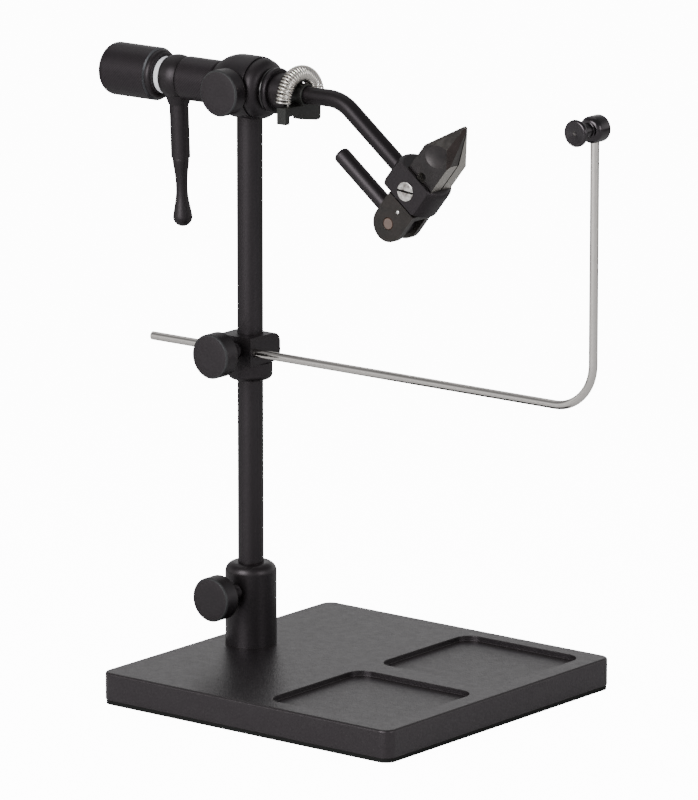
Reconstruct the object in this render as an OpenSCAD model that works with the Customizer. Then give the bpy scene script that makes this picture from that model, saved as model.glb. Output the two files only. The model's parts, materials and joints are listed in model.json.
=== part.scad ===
// Rotary fly tying vise on a square pedestal base, with a thread cradle.
// The origin lies on the post axis at the underside of the base.
// +Z is up, +X runs along the rotary axis towards the jaws.

/* [Base] */
// Side length of the square base
base_w = 133.35; // [126:0.05:150]
// Thickness of the base plate
base_h = 10.35; // [9:0.05:16]
// Thickness of the rubber pad under the plate
pad_h = 1.6; // [1:0.1:3]
// Distance by which the pad stays inside the plate's outline
pad_inset = 0.3; // [0.2:0.1:2]
// Corner radius of the plate in plan
base_corner_r = 4.5; // [3:0.5:9]
// Rounding of the plate's upper edge
base_edge_r = 0.9; // [0.5:0.1:1.5]
// Distance from the post axis to the back edge of the base
post_setback = 16.5; // [14:0.1:20]
// Side length of each square tray
tray_w = 54; // [45:0.5:56]
// Width of the rib between the two trays
tray_gap = 10.35; // [8:0.05:12]
// Distance from the trays to the front edge of the base
tray_margin = 7.85; // [6:0.05:12]
// Depth of the trays
tray_depth = 2; // [1:0.1:3]
// Corner radius of the trays in plan
tray_corner_r = 6.35; // [4:0.05:9]

/* [Post and socket] */
// Diameter of the post
post_d = 9.525; // [8.5:0.005:11]
// Height of the rotary axis above the table
rotary_z = 220.7; // [200:0.1:250]
// Diameter of the socket that stands on the base
socket_d = 19.05; // [17:0.05:22]
// Height of the socket above the plate
socket_h = 31.05; // [29:0.05:40]
// Rounding of the socket's upper edge
socket_edge_r = 3.6; // [1:0.1:3.8]
// Solid metal left under the post in the socket
socket_floor = 8; // [7:0.5:12]
// Height of the socket's thumb screw above the table
base_screw_z = 32.8; // [30:0.1:35]
// Diameter of the bolt that holds the socket from below
bolt_d = 6.35; // [5:0.05:7]
// Diameter of that bolt's head
bolt_head_d = 12; // [10:0.5:14]
// Height of that bolt's head
bolt_head_h = 3.8; // [3:0.1:4.5]

/* [Thumb screws] */
// Diameter of the knobs at the base and the cradle
knob_d = 16.6; // [15:0.1:19]
// Thickness of those knobs
knob_t = 6.8; // [6:0.1:7.2]
// Diameter of the knob on the head
tension_knob_d = 17.1; // [15:0.1:19]
// Thickness of the knob on the head
tension_knob_t = 6; // [5:0.1:6.2]
// Rounding of the knobs' outer edges
knob_edge_r = 0.6; // [0.3:0.1:1]
// Diameter of the threaded studs
stud_d = 6.35; // [5:0.05:7]
// Depth of the stud inside its knob
stud_grip = 4; // [2.5:0.1:4.5]
// Distance from the post axis to the face of the base knob
base_knob_reach = 23.9; // [22:0.1:27]
// Distance from the post axis to the face of the cradle knob
cradle_knob_reach = 23.5; // [22:0.1:27]
// Distance from the rotary axis to the face of the head knob
tension_knob_reach = 18.2; // [18:0.1:22]

/* [Thread cradle] */
// Height of the cradle rod above the table
cradle_z = 124.1; // [90:0.1:150]
// Diameter of the cradle rod
rod_d = 3.175; // [2.8:0.005:3.6]
// Distance from the post axis to the rod's free end
rod_tail = 41.3; // [30:0.1:60]
// Distance from the post axis to the upright part of the rod
rod_reach = 161; // [140:0.5:175]
// Bend radius of the rod at its centre line
rod_bend_r = 16.5; // [10:0.5:25]
// Width of the clamp block along the rod
clamp_w = 15.2; // [13:0.1:18]
// Height of the clamp block
clamp_h = 10.6; // [9:0.1:12]
// Distance from the post axis to the clamp's near face
clamp_near = 9.2; // [8.8:0.1:11]
// Distance from the post axis to the clamp's far face
clamp_far = 8.1; // [7.5:0.1:10]
// Rounding of the clamp's far edges
clamp_far_r = 3.8; // [1:0.1:4]
// Diameter of the stop collar under the clamp
stop_d = 16.3; // [15:0.1:19]
// Height of the stop collar
stop_h = 6.4; // [5:0.1:8]
// Height of the spool's axis above the table
spool_z = 224.7; // [190:0.1:240]
// Diameter of the spool
spool_d = 9.7; // [8:0.1:14]
// Diameter of the spool's neck
spool_neck_d = 5.2; // [4:0.1:6]
// Length of the spool's barrel, which the rod enters
spool_barrel_l = 7.4; // [6:0.1:9]
// Length of the spool's neck
spool_neck_l = 6; // [4:0.1:9]
// Thickness of the spool's front disc
spool_disc_t = 2; // [1.5:0.1:3]
// Rounding of the spool's edges
spool_edge_r = 0.9; // [0.3:0.1:0.95]
// Radius of the spool's barrel where it faces the neck
spool_front_r = 2.2; // [0.5:0.1:2.4]

/* [Rotary head] */
// Largest diameter of the head housing
head_d = 23.4; // [22.5:0.1:26]
// Distance from the post axis to the housing's back face
head_back = 12.3; // [12:0.1:16]
// Distance from the post axis to the seam of the front cap
head_seam = 5.2; // [5.1:0.1:6]
// Distance from the post axis to the front cap's face
head_front = 10.1; // [9.8:0.1:12]
// Diameter of the rotary shaft
shaft_d = 7.94; // [7:0.01:8.2]
// Outer diameter of the two bushings
bushing_d = 11.2; // [10.6:0.1:12]
// Length of each bushing
bushing_l = 5; // [4:0.1:5.2]
// Diameter of the knurled sleeve behind the head
sleeve_d = 16.2; // [14:0.1:19]
// Length of the knurled sleeve
sleeve_l = 17.5; // [10:0.1:20]
// Largest diameter of the crank's hub
crank_hub_d = 16.6; // [16.4:0.1:19]
// Diameter of the crank hub's end faces
crank_hub_end_d = 14.6; // [13:0.1:14.8]
// Width of the crank's hub
crank_hub_w = 7.5; // [7.4:0.1:12]
// Diameter of the crank's stem
crank_stem_d = 7.1; // [5:0.1:7.2]
// Distance from the rotary axis to the end of the stem
crank_stem_reach = 30.2; // [20:0.1:34]
// Distance from the rotary axis to the end of the handle
crank_reach = 56.3; // [50:0.1:80]
// Diameter of the handle's waist
handle_waist_d = 4.4; // [3:0.1:6]
// Diameter of the handle's bulb
handle_bulb_d = 7.3; // [5:0.1:9]
// Lean of the crank at rest, in degrees
crank_lean = 2.5; // [0:0.5:10]
// Diameter of the white washer
washer_d = 13.8; // [12:0.1:16]
// Thickness of the white washer
washer_t = 2.5; // [1:0.1:4]
// Diameter of the knurled knob at the rear
rear_knob_d = 19.7; // [17:0.1:24]
// Length of the knurled knob at the rear
rear_knob_l = 25.2; // [18:0.1:30]
// Wall left behind the shaft in the rear knob
rear_knob_wall = 4.8; // [3:0.1:6]

/* [Material clip] */
// Distance from the post axis to the middle of the clip
clip_x = 23.5; // [23.3:0.1:25]
// Thickness of the clip's bracket along the arm
clip_t = 4.2; // [4:0.1:5]
// Radius of the spring's arch at its centre line
clip_arch_r = 9.6; // [9.4:0.1:11]
// Outer diameter of the spring's coil
clip_coil_d = 6.2; // [5:0.1:6.4]
// Diameter of the spring wire
clip_wire_d = 0.65; // [0.5:0.05:0.7]
// Number of turns of the spring
clip_turns = 19; // [12:1:20]
// Distance from the rotary axis down to the spring's ends
clip_seat_drop = 3.7; // [3.5:0.1:3.9]
// Distance from the rotary axis down to the bottom of the feet
clip_foot_drop = 9.9; // [9:0.1:12]
// Width of each foot
clip_foot_w = 2.6; // [2:0.1:3.5]

/* [Arm and jaws] */
// Diameter of the bent arm
arm_d = 6.35; // [5.5:0.05:7]
// Distance from the post axis to the arm's corner point
arm_corner_x = 42.8; // [41:0.1:50]
// Bend radius of the arm at its centre line
arm_bend_r = 16; // [12:0.5:20]
// Angle of the lowered part of the arm below horizontal
arm_angle = 38.2; // [30:0.1:42]
// Length from the arm's corner point to the jaw axis
arm_run = 44.3; // [40:0.1:50]
// Diameter of the jaw collar
collar_d = 22.2; // [20.5:0.1:24]
// Distance from the arm's axis up to the collar's rim
collar_up = 6.5; // [6:0.1:8]
// Distance from the arm's axis down to the collar's lower face
collar_down = 5.4; // [5:0.1:7]
// Distance from the middle plane to each flat on the collar
collar_flat = 7.3; // [7:0.1:8]
// Offset of the jaws from the collar's axis
jaw_offset = 2; // [1:0.1:2.2]
// Width of the jaws
jaw_w = 12.8; // [12:0.1:14]
// Thickness of each jaw half
jaw_t = 5.5; // [4.5:0.1:5.8]
// Gap between the closed jaw halves at the base
jaw_gap = 0.7; // [0.4:0.05:0.8]
// Height of the jaw tips above the arm's axis
jaw_tip_up = 32; // [28:0.1:36]
// Height of the jaws' rear shoulder above the arm's axis
jaw_rear_up = 18; // [15:0.1:20]
// Height of the jaws' front shoulder above the arm's axis
jaw_front_up = 18.9; // [17:0.1:22]
// Height of the peak of each jaw's outer face above the arm's axis
jaw_peak_up = 23.4; // [21.5:0.1:25]
// Diameter of the slotted jaw screw's head
jaw_screw_d = 7.2; // [6:0.1:7.4]

/* [Cam lever] */
// Distance from the arm's axis down to the cam pin
cam_pin_down = 16.5; // [16:0.1:18]
// Diameter of the cam pin
cam_pin_d = 4.7; // [4:0.1:5]
// Width of the yoke's cheeks
yoke_w = 13.6; // [12:0.1:14]
// Thickness of each cheek
yoke_cheek_t = 2.6; // [2:0.1:3]
// Gap between the two cheeks
yoke_slot = 6.5; // [6.3:0.1:7]
// Gap between the collar and the yoke's shoulder
yoke_gap = 1.5; // [0.6:0.1:1.6]
// Diameter of the cam's round head
cam_head_d = 10.4; // [9.8:0.1:11]
// Distance from the pin's axis to the centre of the cam's round head
cam_throw = 0.8; // [0.4:0.1:1]
// Diameter of the lever rod
lever_d = 6.2; // [5:0.1:6.2]
// Distance from the cam pin to the lever's free end
lever_reach = 34.4; // [28:0.1:45]

/* [Hidden] */

$fn = 64;

// Radial clearance of parts that turn or slide on each other
run_gap = 0.05;
// Radial clearance of parts that are fixed in each other
fit_gap = 0.02;
// Gap along the axis between neighbours that turn
end_gap = 0.15;
// Overrun of a cut past the face it opens
cut = 1;

// Heights of the base
base_z = pad_h;
base_top = pad_h + base_h;
tray_x = base_w - post_setback - tray_margin - tray_w;

// Post
post_r = post_d / 2;
socket_r = socket_d / 2;
post_z0 = base_top + socket_floor + fit_gap;
shaft_r = shaft_d / 2;
shaft_bore_r = shaft_r + run_gap;
// Clear space round the shaft between the bushings
shaft_room = 0.4;
// Wall between the post's bore and the shaft's bore
post_top_wall = 1;
post_z1 = rotary_z - shaft_r - shaft_room - post_top_wall;

// Socket bolt
bolt_grip = 5;
bolt_head_room = 0.3;
hex_key_d = 5;
hex_key_depth = 2;

// Studs
stud_r = stud_d / 2;
// Gap between a stud's tip and what it presses on
tip_gap = 0.06;

// Grub screws and their key holes
grub_d = 4;
grub_key_d = 2;
grub_key_depth = 1.5;
grub_sink = 0.3;

// Cradle
rod_r = rod_d / 2;
rod_y = -(post_r + rod_r + run_gap);
rod_bore_r = rod_r + run_gap;
rod_drop = 0.4;
rod_z = cradle_z - rod_drop;
clamp_z0 = cradle_z - clamp_h / 2;
stop_z1 = clamp_z0 - end_gap;
stop_z0 = stop_z1 - stop_h;
stop_edge = 1.9;
riser_z1 = spool_z + spool_d / 5;
spool_far_half = 3.3;
spool_y1 = rod_y + spool_far_half;

// Head
head_r = head_d / 2;
head_flat_half = 3;
head_round_r = 14;
head_back_edge = 2.2;
head_back_r = 8.6;
cap_step = 0.6;
cap_edge_r = 4.2;
cap_neck_r = bushing_d / 2 + 2.6;
cap_neck_l = 2.4;
cap_bore_room = 0.2;
bushing_r = bushing_d / 2;
shaft_room_r = shaft_r + shaft_room;
tension_pad_t = 1.2;
tension_pad_r = stud_r - fit_gap;
head_screw_drop = 8.4;

// Places along the rotary axis
sleeve_x1 = -head_back - end_gap;
sleeve_x0 = sleeve_x1 - sleeve_l;
hub_x1 = sleeve_x0 - end_gap;
hub_x0 = hub_x1 - crank_hub_w;
crank_hub_side = 3.6;
// Flare of the crank's hub: its top radius, its start inside the barrel, its end and its wall
crank_flare_r = 5.2;
crank_flare_in = 1.2;
crank_flare_reach = 10.2;
crank_flare_wall = 0.3;
washer_x1 = hub_x0 - end_gap;
washer_x0 = washer_x1 - washer_t;
rear_x1 = washer_x0 - end_gap;
rear_x0 = rear_x1 - rear_knob_l;
shaft_x0 = rear_x0 + rear_knob_wall;
sleeve_edge_r = 1.4;
rear_edge_r = 3.4;
rear_band = 2.2;
rear_band_drop = 0.7;
knob_bore_slack = 0.5;

// Front hub, ring and arm socket
ring_r = 8.1;
front_hub_r = 6.6;
ring_wire_r = (ring_r - front_hub_r - fit_gap) / 2;
ring_x = head_front + end_gap + ring_wire_r;
flange_r = 8.4;
flange_x0 = ring_x + ring_wire_r + end_gap;
flange_t = 2;
flange_edge_r = 0.7;
front_hub_x0 = head_front + end_gap;
front_hub_x1 = clip_x - clip_coil_d / 2 - end_gap;
arm_seat_x = flange_x0 + flange_t + end_gap;
shaft_x1 = arm_seat_x - end_gap;
arm_r = arm_d / 2;

// Clip
clip_seat_z = rotary_z - clip_seat_drop;
clip_foot_z = rotary_z - clip_foot_drop;
clip_bar_h = 3.4;
clip_lug_near = 1.6;
clip_lug_drop = 9;
clip_far_foot_extra = 0.5;
clip_far_trim = 1.2;
// Round of the far foot's outer corner
clip_foot_round = 1.2;
clip_boss_l = 1.6;
coil_r = (clip_coil_d - clip_wire_d) / 2;
wire_r = clip_wire_d / 2;
elbow_r = 0.9;
arch_z = clip_seat_z + clip_wire_d + elbow_r;
// Gap between the bracket's ring and the spring above it
clip_ring_gap = 0.3;
clip_ring_r = arch_z + clip_arch_r - clip_coil_d / 2 - clip_ring_gap - rotary_z;
rings_per_turn = 8;
wire_sides = 6;
elbow_steps = 3;

// Jaw frame: its Z axis is the jaw axis, its X axis follows the lowered arm
jaw_x = arm_corner_x + arm_run * cos(arm_angle);
jaw_z = rotary_z - arm_run * sin(arm_angle);
collar_r = collar_d / 2;
// Wall between the arm's end and the jaws' recess
arm_end_wall = 0.5;
recess_end_clear = 0.15;
recess_clear = 0.4;
arm_depth = collar_r + jaw_offset - jaw_w / 2 - recess_end_clear - arm_end_wall;
jaw_y0 = jaw_gap / 2;
jaw_y1 = jaw_y0 + jaw_t;
jaw_foot_up = 1.6;
jaw_tip_w = 1.6;
jaw_tip_t = 0.75;
jaw_tip_offset = 2.4;
jaw_peak_offset = 4;
jaw_front_step = 1.6;
jaw_hinge_up = 7.5;
jaw_hole_r = 1.9;
jaw_pin_r = 1.2;
jaw_pin_short = 2.2;
jaw_relief = 2.2;
jaw_relief_up = 5.2;
recess_floor_up = 1;
collar_edge = 0.8;
collar_top_edge = 2;
plunger_r = 2.2;
plunger_tip_r = 1;
plunger_tip_up = 4;
plunger_cone_up = 1.4;
jaw_screw_x = 0.6;
jaw_screw_shank_r = 1.4;
jaw_screw_head_t = 1.2;
jaw_screw_sink = 1;
jaw_screw_drop = 0.7;
slot_w = 0.8;
slot_depth = 0.5;
// Turn of the jaw screw's slot from the arm's line
slot_turn = 32;

// Cam
cam_x = 1.6;
yoke_r = yoke_w / 2;
yoke_top = -(collar_down + yoke_gap);
yoke_web_t = 2.2;
yoke_stub_r = 4.2;
yoke_stub_in = 2.6;
yoke_half_y = yoke_slot / 2 + yoke_cheek_t;
cam_half_y = yoke_slot / 2 - run_gap * 3;
cam_gap = 0.35;
cam_pin_r = cam_pin_d / 2;
cam_head_r = cam_head_d / 2;
cam_head_z = -cam_pin_down + cam_throw;
plunger_foot = cam_head_z + cam_head_r + cam_gap;
lever_r = lever_d / 2;
lever_root_wall = 0.7;
lever_end_share = 0.47;
lever_end_r = lever_r * lever_end_share;
lever_tang_share = 0.6;
dowel_r = 0.75;
dowel_drop = 10.2;
dowel_offset = 0.5;

// Colours
black_coat = [0.13, 0.13, 0.14];
black_dark = [0.08, 0.08, 0.09];
steel = [0.75, 0.74, 0.72];
white_nylon = [0.88, 0.88, 0.9];
bronze = [0.55, 0.42, 0.25];

// Turned section in the plane of radius and height, with rounded outer corners
module turned_section(r_in, r_out, h, e_low, e_high) {
    difference() {
        translate([r_in, 0]) square([r_out - r_in, h]);
        if (e_low > 0) translate([r_out - e_low, 0]) square([e_low, e_low]);
        if (e_high > 0) translate([r_out - e_high, h - e_high]) square([e_high, e_high]);
    }
    if (e_low > 0) translate([r_out - e_low, e_low]) circle(r = e_low);
    if (e_high > 0) translate([r_out - e_high, h - e_high]) circle(r = e_high);
}

// Turned piece from z = 0 to h, bored where r_in is above zero
module turned(r_in, r_out, h, e_low = 0, e_high = 0) {
    rotate_extrude() turned_section(r_in, r_out, h, e_low, e_high);
}

// Places its children's Z axis along the rotary axis, starting at x
module on_rotary_axis(x) {
    translate([x, 0, rotary_z]) rotate([0, 90, 0]) children();
}

// Places its children's Z axis along -Y, starting at distance y on the near side
module towards_near(x, y, z) {
    translate([x, -y, z]) rotate([90, 0, 0]) children();
}

// Places its children in the jaw frame
module in_jaw_frame() {
    translate([jaw_x, 0, jaw_z]) rotate([0, arm_angle, 0]) children();
}

// Square outline with round corners, corner at the origin
module rounded_square(w, r) {
    translate([r, 0]) square([w - 2 * r, w]);
    translate([0, r]) square([w, w - 2 * r]);
    for (x = [r, w - r], y = [r, w - r]) translate([x, y]) circle(r = r);
}

// Round-cornered plate whose upper edge is rounded, centred on its own axis
module soft_plate(w, h, r, e) {
    straight = w - 2 * r;
    for (x = [-1, 1], y = [-1, 1])
        translate([x * straight / 2, y * straight / 2, 0]) turned(0, r, h, 0, e);
    for (a = [0 : 90 : 270])
        rotate([0, 0, a])
            translate([straight / 2, straight / 2, 0])
                rotate([90, 0, 0])
                    linear_extrude(straight) turned_section(0, r, h, 0, e);
    translate([-straight / 2, -straight / 2, 0]) cube([straight, straight, h]);
}

// Grub screw with a key hole, its tip at z = 0
module grub_screw(l) {
    difference() {
        cylinder(h = l, d = grub_d);
        translate([0, 0, l - grub_key_depth])
            cylinder(h = grub_key_depth + cut, d = grub_key_d, $fn = 6);
    }
}

// Thumb knob, its inner face at z = 0, bored for its stud
module thumb_knob(d, t) {
    difference() {
        turned(0, d / 2, t, knob_edge_r / 2, knob_edge_r);
        translate([0, 0, -cut]) cylinder(h = stud_grip + cut, r = stud_r + fit_gap);
    }
}

module base_plate() {
    centre = base_w / 2 - post_setback;
    color(black_coat)
    difference() {
        translate([centre, 0, base_z]) soft_plate(base_w, base_h, base_corner_r, base_edge_r);
        for (side = [0, 1])
            mirror([0, side, 0])
                translate([tray_x, tray_gap / 2, base_top - tray_depth])
                    linear_extrude(tray_depth + cut) rounded_square(tray_w, tray_corner_r);
        translate([0, 0, base_z - cut]) cylinder(h = base_h + 2 * cut, r = bolt_d / 2 + fit_gap);
        translate([0, 0, base_z - cut])
            cylinder(h = bolt_head_h + bolt_head_room + cut, r = bolt_head_d / 2 + bolt_head_room);
    }
}

module base_pad() {
    w = base_w - 2 * pad_inset;
    color(black_dark)
        translate([pad_inset - post_setback, -w / 2, 0])
            linear_extrude(pad_h) rounded_square(w, base_corner_r - pad_inset);
}

module socket_bolt() {
    head_z = base_z + bolt_head_room;
    color(steel)
    difference() {
        union() {
            translate([0, 0, head_z]) cylinder(h = bolt_head_h, d = bolt_head_d);
            translate([0, 0, head_z]) cylinder(h = base_top + bolt_grip - head_z, d = bolt_d);
        }
        translate([0, 0, head_z - cut])
            cylinder(h = hex_key_depth + cut, d = hex_key_d, $fn = 6);
    }
}

module post_socket() {
    color(black_coat)
    difference() {
        translate([0, 0, base_top]) turned(0, socket_r, socket_h, 0, socket_edge_r);
        translate([0, 0, base_top + socket_floor])
            cylinder(h = socket_h, r = post_r + run_gap);
        translate([0, 0, base_top - cut])
            cylinder(h = bolt_grip + fit_gap + cut, r = bolt_d / 2 + fit_gap);
        towards_near(0, 0, base_screw_z) cylinder(h = socket_r + cut, r = stud_r + run_gap);
    }
}

module base_screw_knob() {
    color(black_coat)
        towards_near(0, base_knob_reach - knob_t, base_screw_z) thumb_knob(knob_d, knob_t);
}

module base_screw_stud() {
    y0 = post_r + tip_gap;
    y1 = base_knob_reach - knob_t + stud_grip;
    color(black_dark) towards_near(0, y0, base_screw_z) cylinder(h = y1 - y0, r = stud_r);
}

module post() {
    color(black_coat) translate([0, 0, post_z0]) cylinder(h = post_z1 - post_z0, r = post_r);
}

module stop_collar() {
    color(black_coat)
    difference() {
        translate([0, 0, stop_z0]) turned(0, stop_d / 2, stop_h, stop_edge, 0);
        translate([0, 0, stop_z0 - cut]) cylinder(h = stop_h + 2 * cut, r = post_r + run_gap);
        translate([0, 0, stop_z0 + stop_h / 2])
            rotate([-90, 0, 0]) cylinder(h = stop_d, r = grub_d / 2 + fit_gap);
    }
}

module stop_collar_screw() {
    tip = post_r + run_gap + tip_gap;
    color(black_dark)
        translate([0, tip, stop_z0 + stop_h / 2])
            rotate([-90, 0, 0]) grub_screw(stop_d / 2 - tip - grub_sink);
}

// Side view of the clamp block, with its far edges rounded
module clamp_section() {
    depth = clamp_near + clamp_far;
    translate([-clamp_near, 0]) square([depth - clamp_far_r, clamp_h]);
    translate([-clamp_near, clamp_far_r]) square([depth, clamp_h - 2 * clamp_far_r]);
    for (z = [clamp_far_r, clamp_h - clamp_far_r])
        translate([clamp_far - clamp_far_r, z]) circle(r = clamp_far_r);
}

module cradle_clamp() {
    color(black_coat)
    difference() {
        translate([-clamp_w / 2, 0, clamp_z0])
            rotate([90, 0, 90]) linear_extrude(clamp_w) clamp_section();
        translate([0, 0, clamp_z0 - cut]) cylinder(h = clamp_h + 2 * cut, r = post_r + run_gap);
        translate([-clamp_w / 2 - cut, rod_y, rod_z])
            rotate([0, 90, 0]) cylinder(h = clamp_w + 2 * cut, r = rod_bore_r);
        towards_near(0, -rod_y, cradle_z) cylinder(h = clamp_near, r = stud_r + run_gap);
    }
}

module cradle_screw_knob() {
    color(black_coat)
        towards_near(0, cradle_knob_reach - knob_t, cradle_z) thumb_knob(knob_d, knob_t);
}

module cradle_screw_stud() {
    y0 = -rod_y + rod_r + tip_gap;
    y1 = cradle_knob_reach - knob_t + stud_grip;
    color(black_dark) towards_near(0, y0, cradle_z) cylinder(h = y1 - y0, r = stud_r);
}

module cradle_rod() {
    bend_x = rod_reach - rod_bend_r;
    bend_z = rod_z + rod_bend_r;
    color(steel)
    translate([0, rod_y, 0]) {
        translate([-rod_tail, 0, rod_z])
            rotate([0, 90, 0]) cylinder(h = rod_tail + bend_x, r = rod_r);
        translate([bend_x, 0, bend_z])
            rotate([90, 0, 0]) rotate([0, 0, -90])
                rotate_extrude(angle = 90) translate([rod_bend_r, 0]) circle(r = rod_r);
        translate([rod_reach, 0, bend_z]) cylinder(h = riser_z1 - bend_z, r = rod_r);
    }
}

module cradle_spool() {
    r = spool_d / 2;
    neck_z = spool_barrel_l - spool_front_r / 2;
    disc_z = spool_barrel_l + spool_neck_l;
    color(black_dark)
    difference() {
        translate([rod_reach, spool_y1, spool_z]) rotate([90, 0, 0]) {
            turned(0, r, spool_barrel_l, spool_edge_r, spool_front_r);
            translate([0, 0, neck_z]) cylinder(h = disc_z - neck_z, d = spool_neck_d);
            translate([0, 0, disc_z]) turned(0, r, spool_disc_t, spool_edge_r, spool_edge_r);
        }
        translate([rod_reach, rod_y, spool_z - spool_d])
            cylinder(h = riser_z1 - spool_z + spool_d + fit_gap, r = rod_r + fit_gap);
    }
}

// Outline of the housing from its back face to the seam, as radius over length
module head_section() {
    l = head_back + head_seam;
    intersection() {
        square([head_r, l]);
        union() {
            translate([0, head_back - head_flat_half])
                square([head_r, head_flat_half * 2]);
            translate([head_r - head_round_r, head_back - head_flat_half]) circle(r = head_round_r);
            translate([head_r - head_round_r, head_back + head_flat_half]) circle(r = head_round_r);
        }
        polygon([
            [0, 0], [head_back_r, 0], [head_back_r + head_back_edge / 2, head_back_edge / 2],
            [head_r, head_back_edge * 2], [head_r, l], [0, l]
        ]);
    }
}

// Bores for the post, the tension screw and the set screw, with this much room around each
module head_cross_bores(room) {
    translate([0, 0, rotary_z - head_d])
        cylinder(h = head_d - shaft_r - shaft_room - post_top_wall + room, r = post_r + room);
    towards_near(0, 0, rotary_z) cylinder(h = head_d, r = stud_r + room);
    translate([0, 0, rotary_z - head_screw_drop])
        rotate([-90, 0, 0]) cylinder(h = head_d, r = grub_d / 2 + room);
}

module head_housing() {
    l = head_back + head_seam;
    color(black_coat)
    difference() {
        on_rotary_axis(-head_back) rotate_extrude() head_section();
        on_rotary_axis(-head_back - cut) cylinder(h = l + 2 * cut, r = shaft_room_r);
        on_rotary_axis(-head_back - cut) cylinder(h = bushing_l + cut, r = bushing_r + fit_gap);
        on_rotary_axis(head_seam - cap_neck_l - run_gap)
            cylinder(h = cap_neck_l + run_gap + cut, r = cap_neck_r + 3 * run_gap);
        head_cross_bores(run_gap);
    }
}

// Outline of the front cap from the seam to its front face
module cap_section() {
    l = head_front - head_seam - fit_gap;
    r = head_r - cap_step;
    intersection() {
        square([r, l]);
        union() {
            square([r - cap_edge_r, l]);
            square([r, l - cap_edge_r]);
            translate([r - cap_edge_r, l - cap_edge_r]) circle(r = cap_edge_r);
        }
    }
}

module head_front_cap() {
    l = head_front - head_seam;
    color(black_coat)
    difference() {
        union() {
            on_rotary_axis(head_seam + fit_gap) rotate_extrude() cap_section();
            on_rotary_axis(head_seam - cap_neck_l + fit_gap)
                cylinder(h = cap_neck_l, r = cap_neck_r);
        }
        on_rotary_axis(head_seam - cap_neck_l - cut)
            cylinder(h = l + cap_neck_l + 2 * cut, r = shaft_room_r);
        on_rotary_axis(head_front - bushing_l)
            cylinder(h = bushing_l + cut, r = bushing_r + fit_gap);
        head_cross_bores(cap_bore_room);
    }
}

module bushing() {
    color(bronze) turned(shaft_bore_r, bushing_r, bushing_l);
}

module front_bushing() {
    on_rotary_axis(head_front - bushing_l + fit_gap) bushing();
}

module rear_bushing() {
    on_rotary_axis(-head_back) bushing();
}

module head_set_screw() {
    tip = post_r + run_gap + tip_gap;
    outside = sqrt(head_r * head_r - head_screw_drop * head_screw_drop);
    color(black_dark)
        translate([0, tip, rotary_z - head_screw_drop])
            rotate([-90, 0, 0]) grub_screw(outside - tip - grub_sink);
}

module tension_knob() {
    color(black_coat)
        towards_near(0, tension_knob_reach - tension_knob_t, rotary_z)
            thumb_knob(tension_knob_d, tension_knob_t);
}

module tension_stud() {
    y0 = shaft_r + 2 * tip_gap + tension_pad_t + tip_gap;
    y1 = tension_knob_reach - tension_knob_t + stud_grip;
    color(black_dark) towards_near(0, y0, rotary_z) cylinder(h = y1 - y0, r = stud_r);
}

module tension_pad() {
    color(white_nylon)
        towards_near(0, shaft_r + 2 * tip_gap, rotary_z)
            cylinder(h = tension_pad_t, r = tension_pad_r);
}

module rotary_shaft() {
    color(steel) on_rotary_axis(shaft_x0) cylinder(h = shaft_x1 - shaft_x0, r = shaft_r);
}

module knurled_sleeve() {
    color(black_coat)
    difference() {
        on_rotary_axis(sleeve_x0)
            turned(shaft_r + fit_gap, sleeve_d / 2, sleeve_l, sleeve_edge_r / 2, sleeve_edge_r / 2);
        translate([sleeve_x0 + sleeve_l / 2, 0, rotary_z])
            rotate([-90, 0, 0]) cylinder(h = sleeve_d, r = grub_d / 2 + fit_gap);
    }
}

module sleeve_set_screw() {
    tip = shaft_r + fit_gap + tip_gap;
    color(black_dark)
        translate([sleeve_x0 + sleeve_l / 2, tip, rotary_z])
            rotate([-90, 0, 0]) grub_screw(sleeve_d / 2 - tip - grub_sink);
}

module front_hub() {
    color(black_coat)
    difference() {
        union() {
            on_rotary_axis(front_hub_x0) cylinder(h = front_hub_x1 - front_hub_x0, r = front_hub_r);
            on_rotary_axis(flange_x0) turned(0, flange_r, flange_t, flange_edge_r, flange_edge_r);
        }
        on_rotary_axis(front_hub_x0 - cut)
            cylinder(h = shaft_x1 + fit_gap - front_hub_x0 + cut, r = shaft_r + fit_gap);
        on_rotary_axis(front_hub_x0) cylinder(h = front_hub_x1, r = arm_r + fit_gap);
    }
}

module hub_ring() {
    color(black_dark)
        on_rotary_axis(ring_x)
            rotate_extrude() translate([ring_r - ring_wire_r, 0]) circle(r = ring_wire_r);
}

// Barrel outline of the crank's hub
module crank_hub_section() {
    r = crank_hub_d / 2;
    sag = r - crank_hub_end_d / 2;
    side = crank_hub_side;
    arc_r = (side * side + sag * sag) / (2 * sag);
    intersection() {
        translate([shaft_bore_r, 0]) square([r, crank_hub_w]);
        union() {
            translate([r - arc_r, side]) circle(r = arc_r);
            translate([r - arc_r, crank_hub_w - side]) circle(r = arc_r);
            translate([0, side]) square([r, crank_hub_w - 2 * side]);
        }
    }
}

// Places its children's Z axis down along the crank, starting on the rotary axis
module along_crank() {
    translate([(hub_x0 + hub_x1) / 2, 0, rotary_z])
        rotate([crank_lean, 0, 0]) rotate([180, 0, 0]) children();
}

// Flare that carries the hub's barrel down onto the stem
module crank_flare() {
    start = crank_hub_end_d / 2 - crank_flare_in;
    intersection() {
        along_crank() translate([0, 0, start])
            cylinder(
                h = crank_flare_reach - start,
                r1 = crank_flare_r, r2 = crank_stem_d / 2 + crank_flare_wall
            );
        on_rotary_axis(hub_x0) cylinder(h = crank_hub_w, r = crank_hub_d);
    }
}

module crank_hub() {
    color(black_coat)
    difference() {
        union() {
            on_rotary_axis(hub_x0) rotate_extrude() crank_hub_section();
            crank_flare();
        }
        along_crank()
            translate([0, 0, shaft_bore_r + tip_gap])
                cylinder(h = crank_hub_d, r = crank_stem_d / 2 + fit_gap);
    }
}

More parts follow.
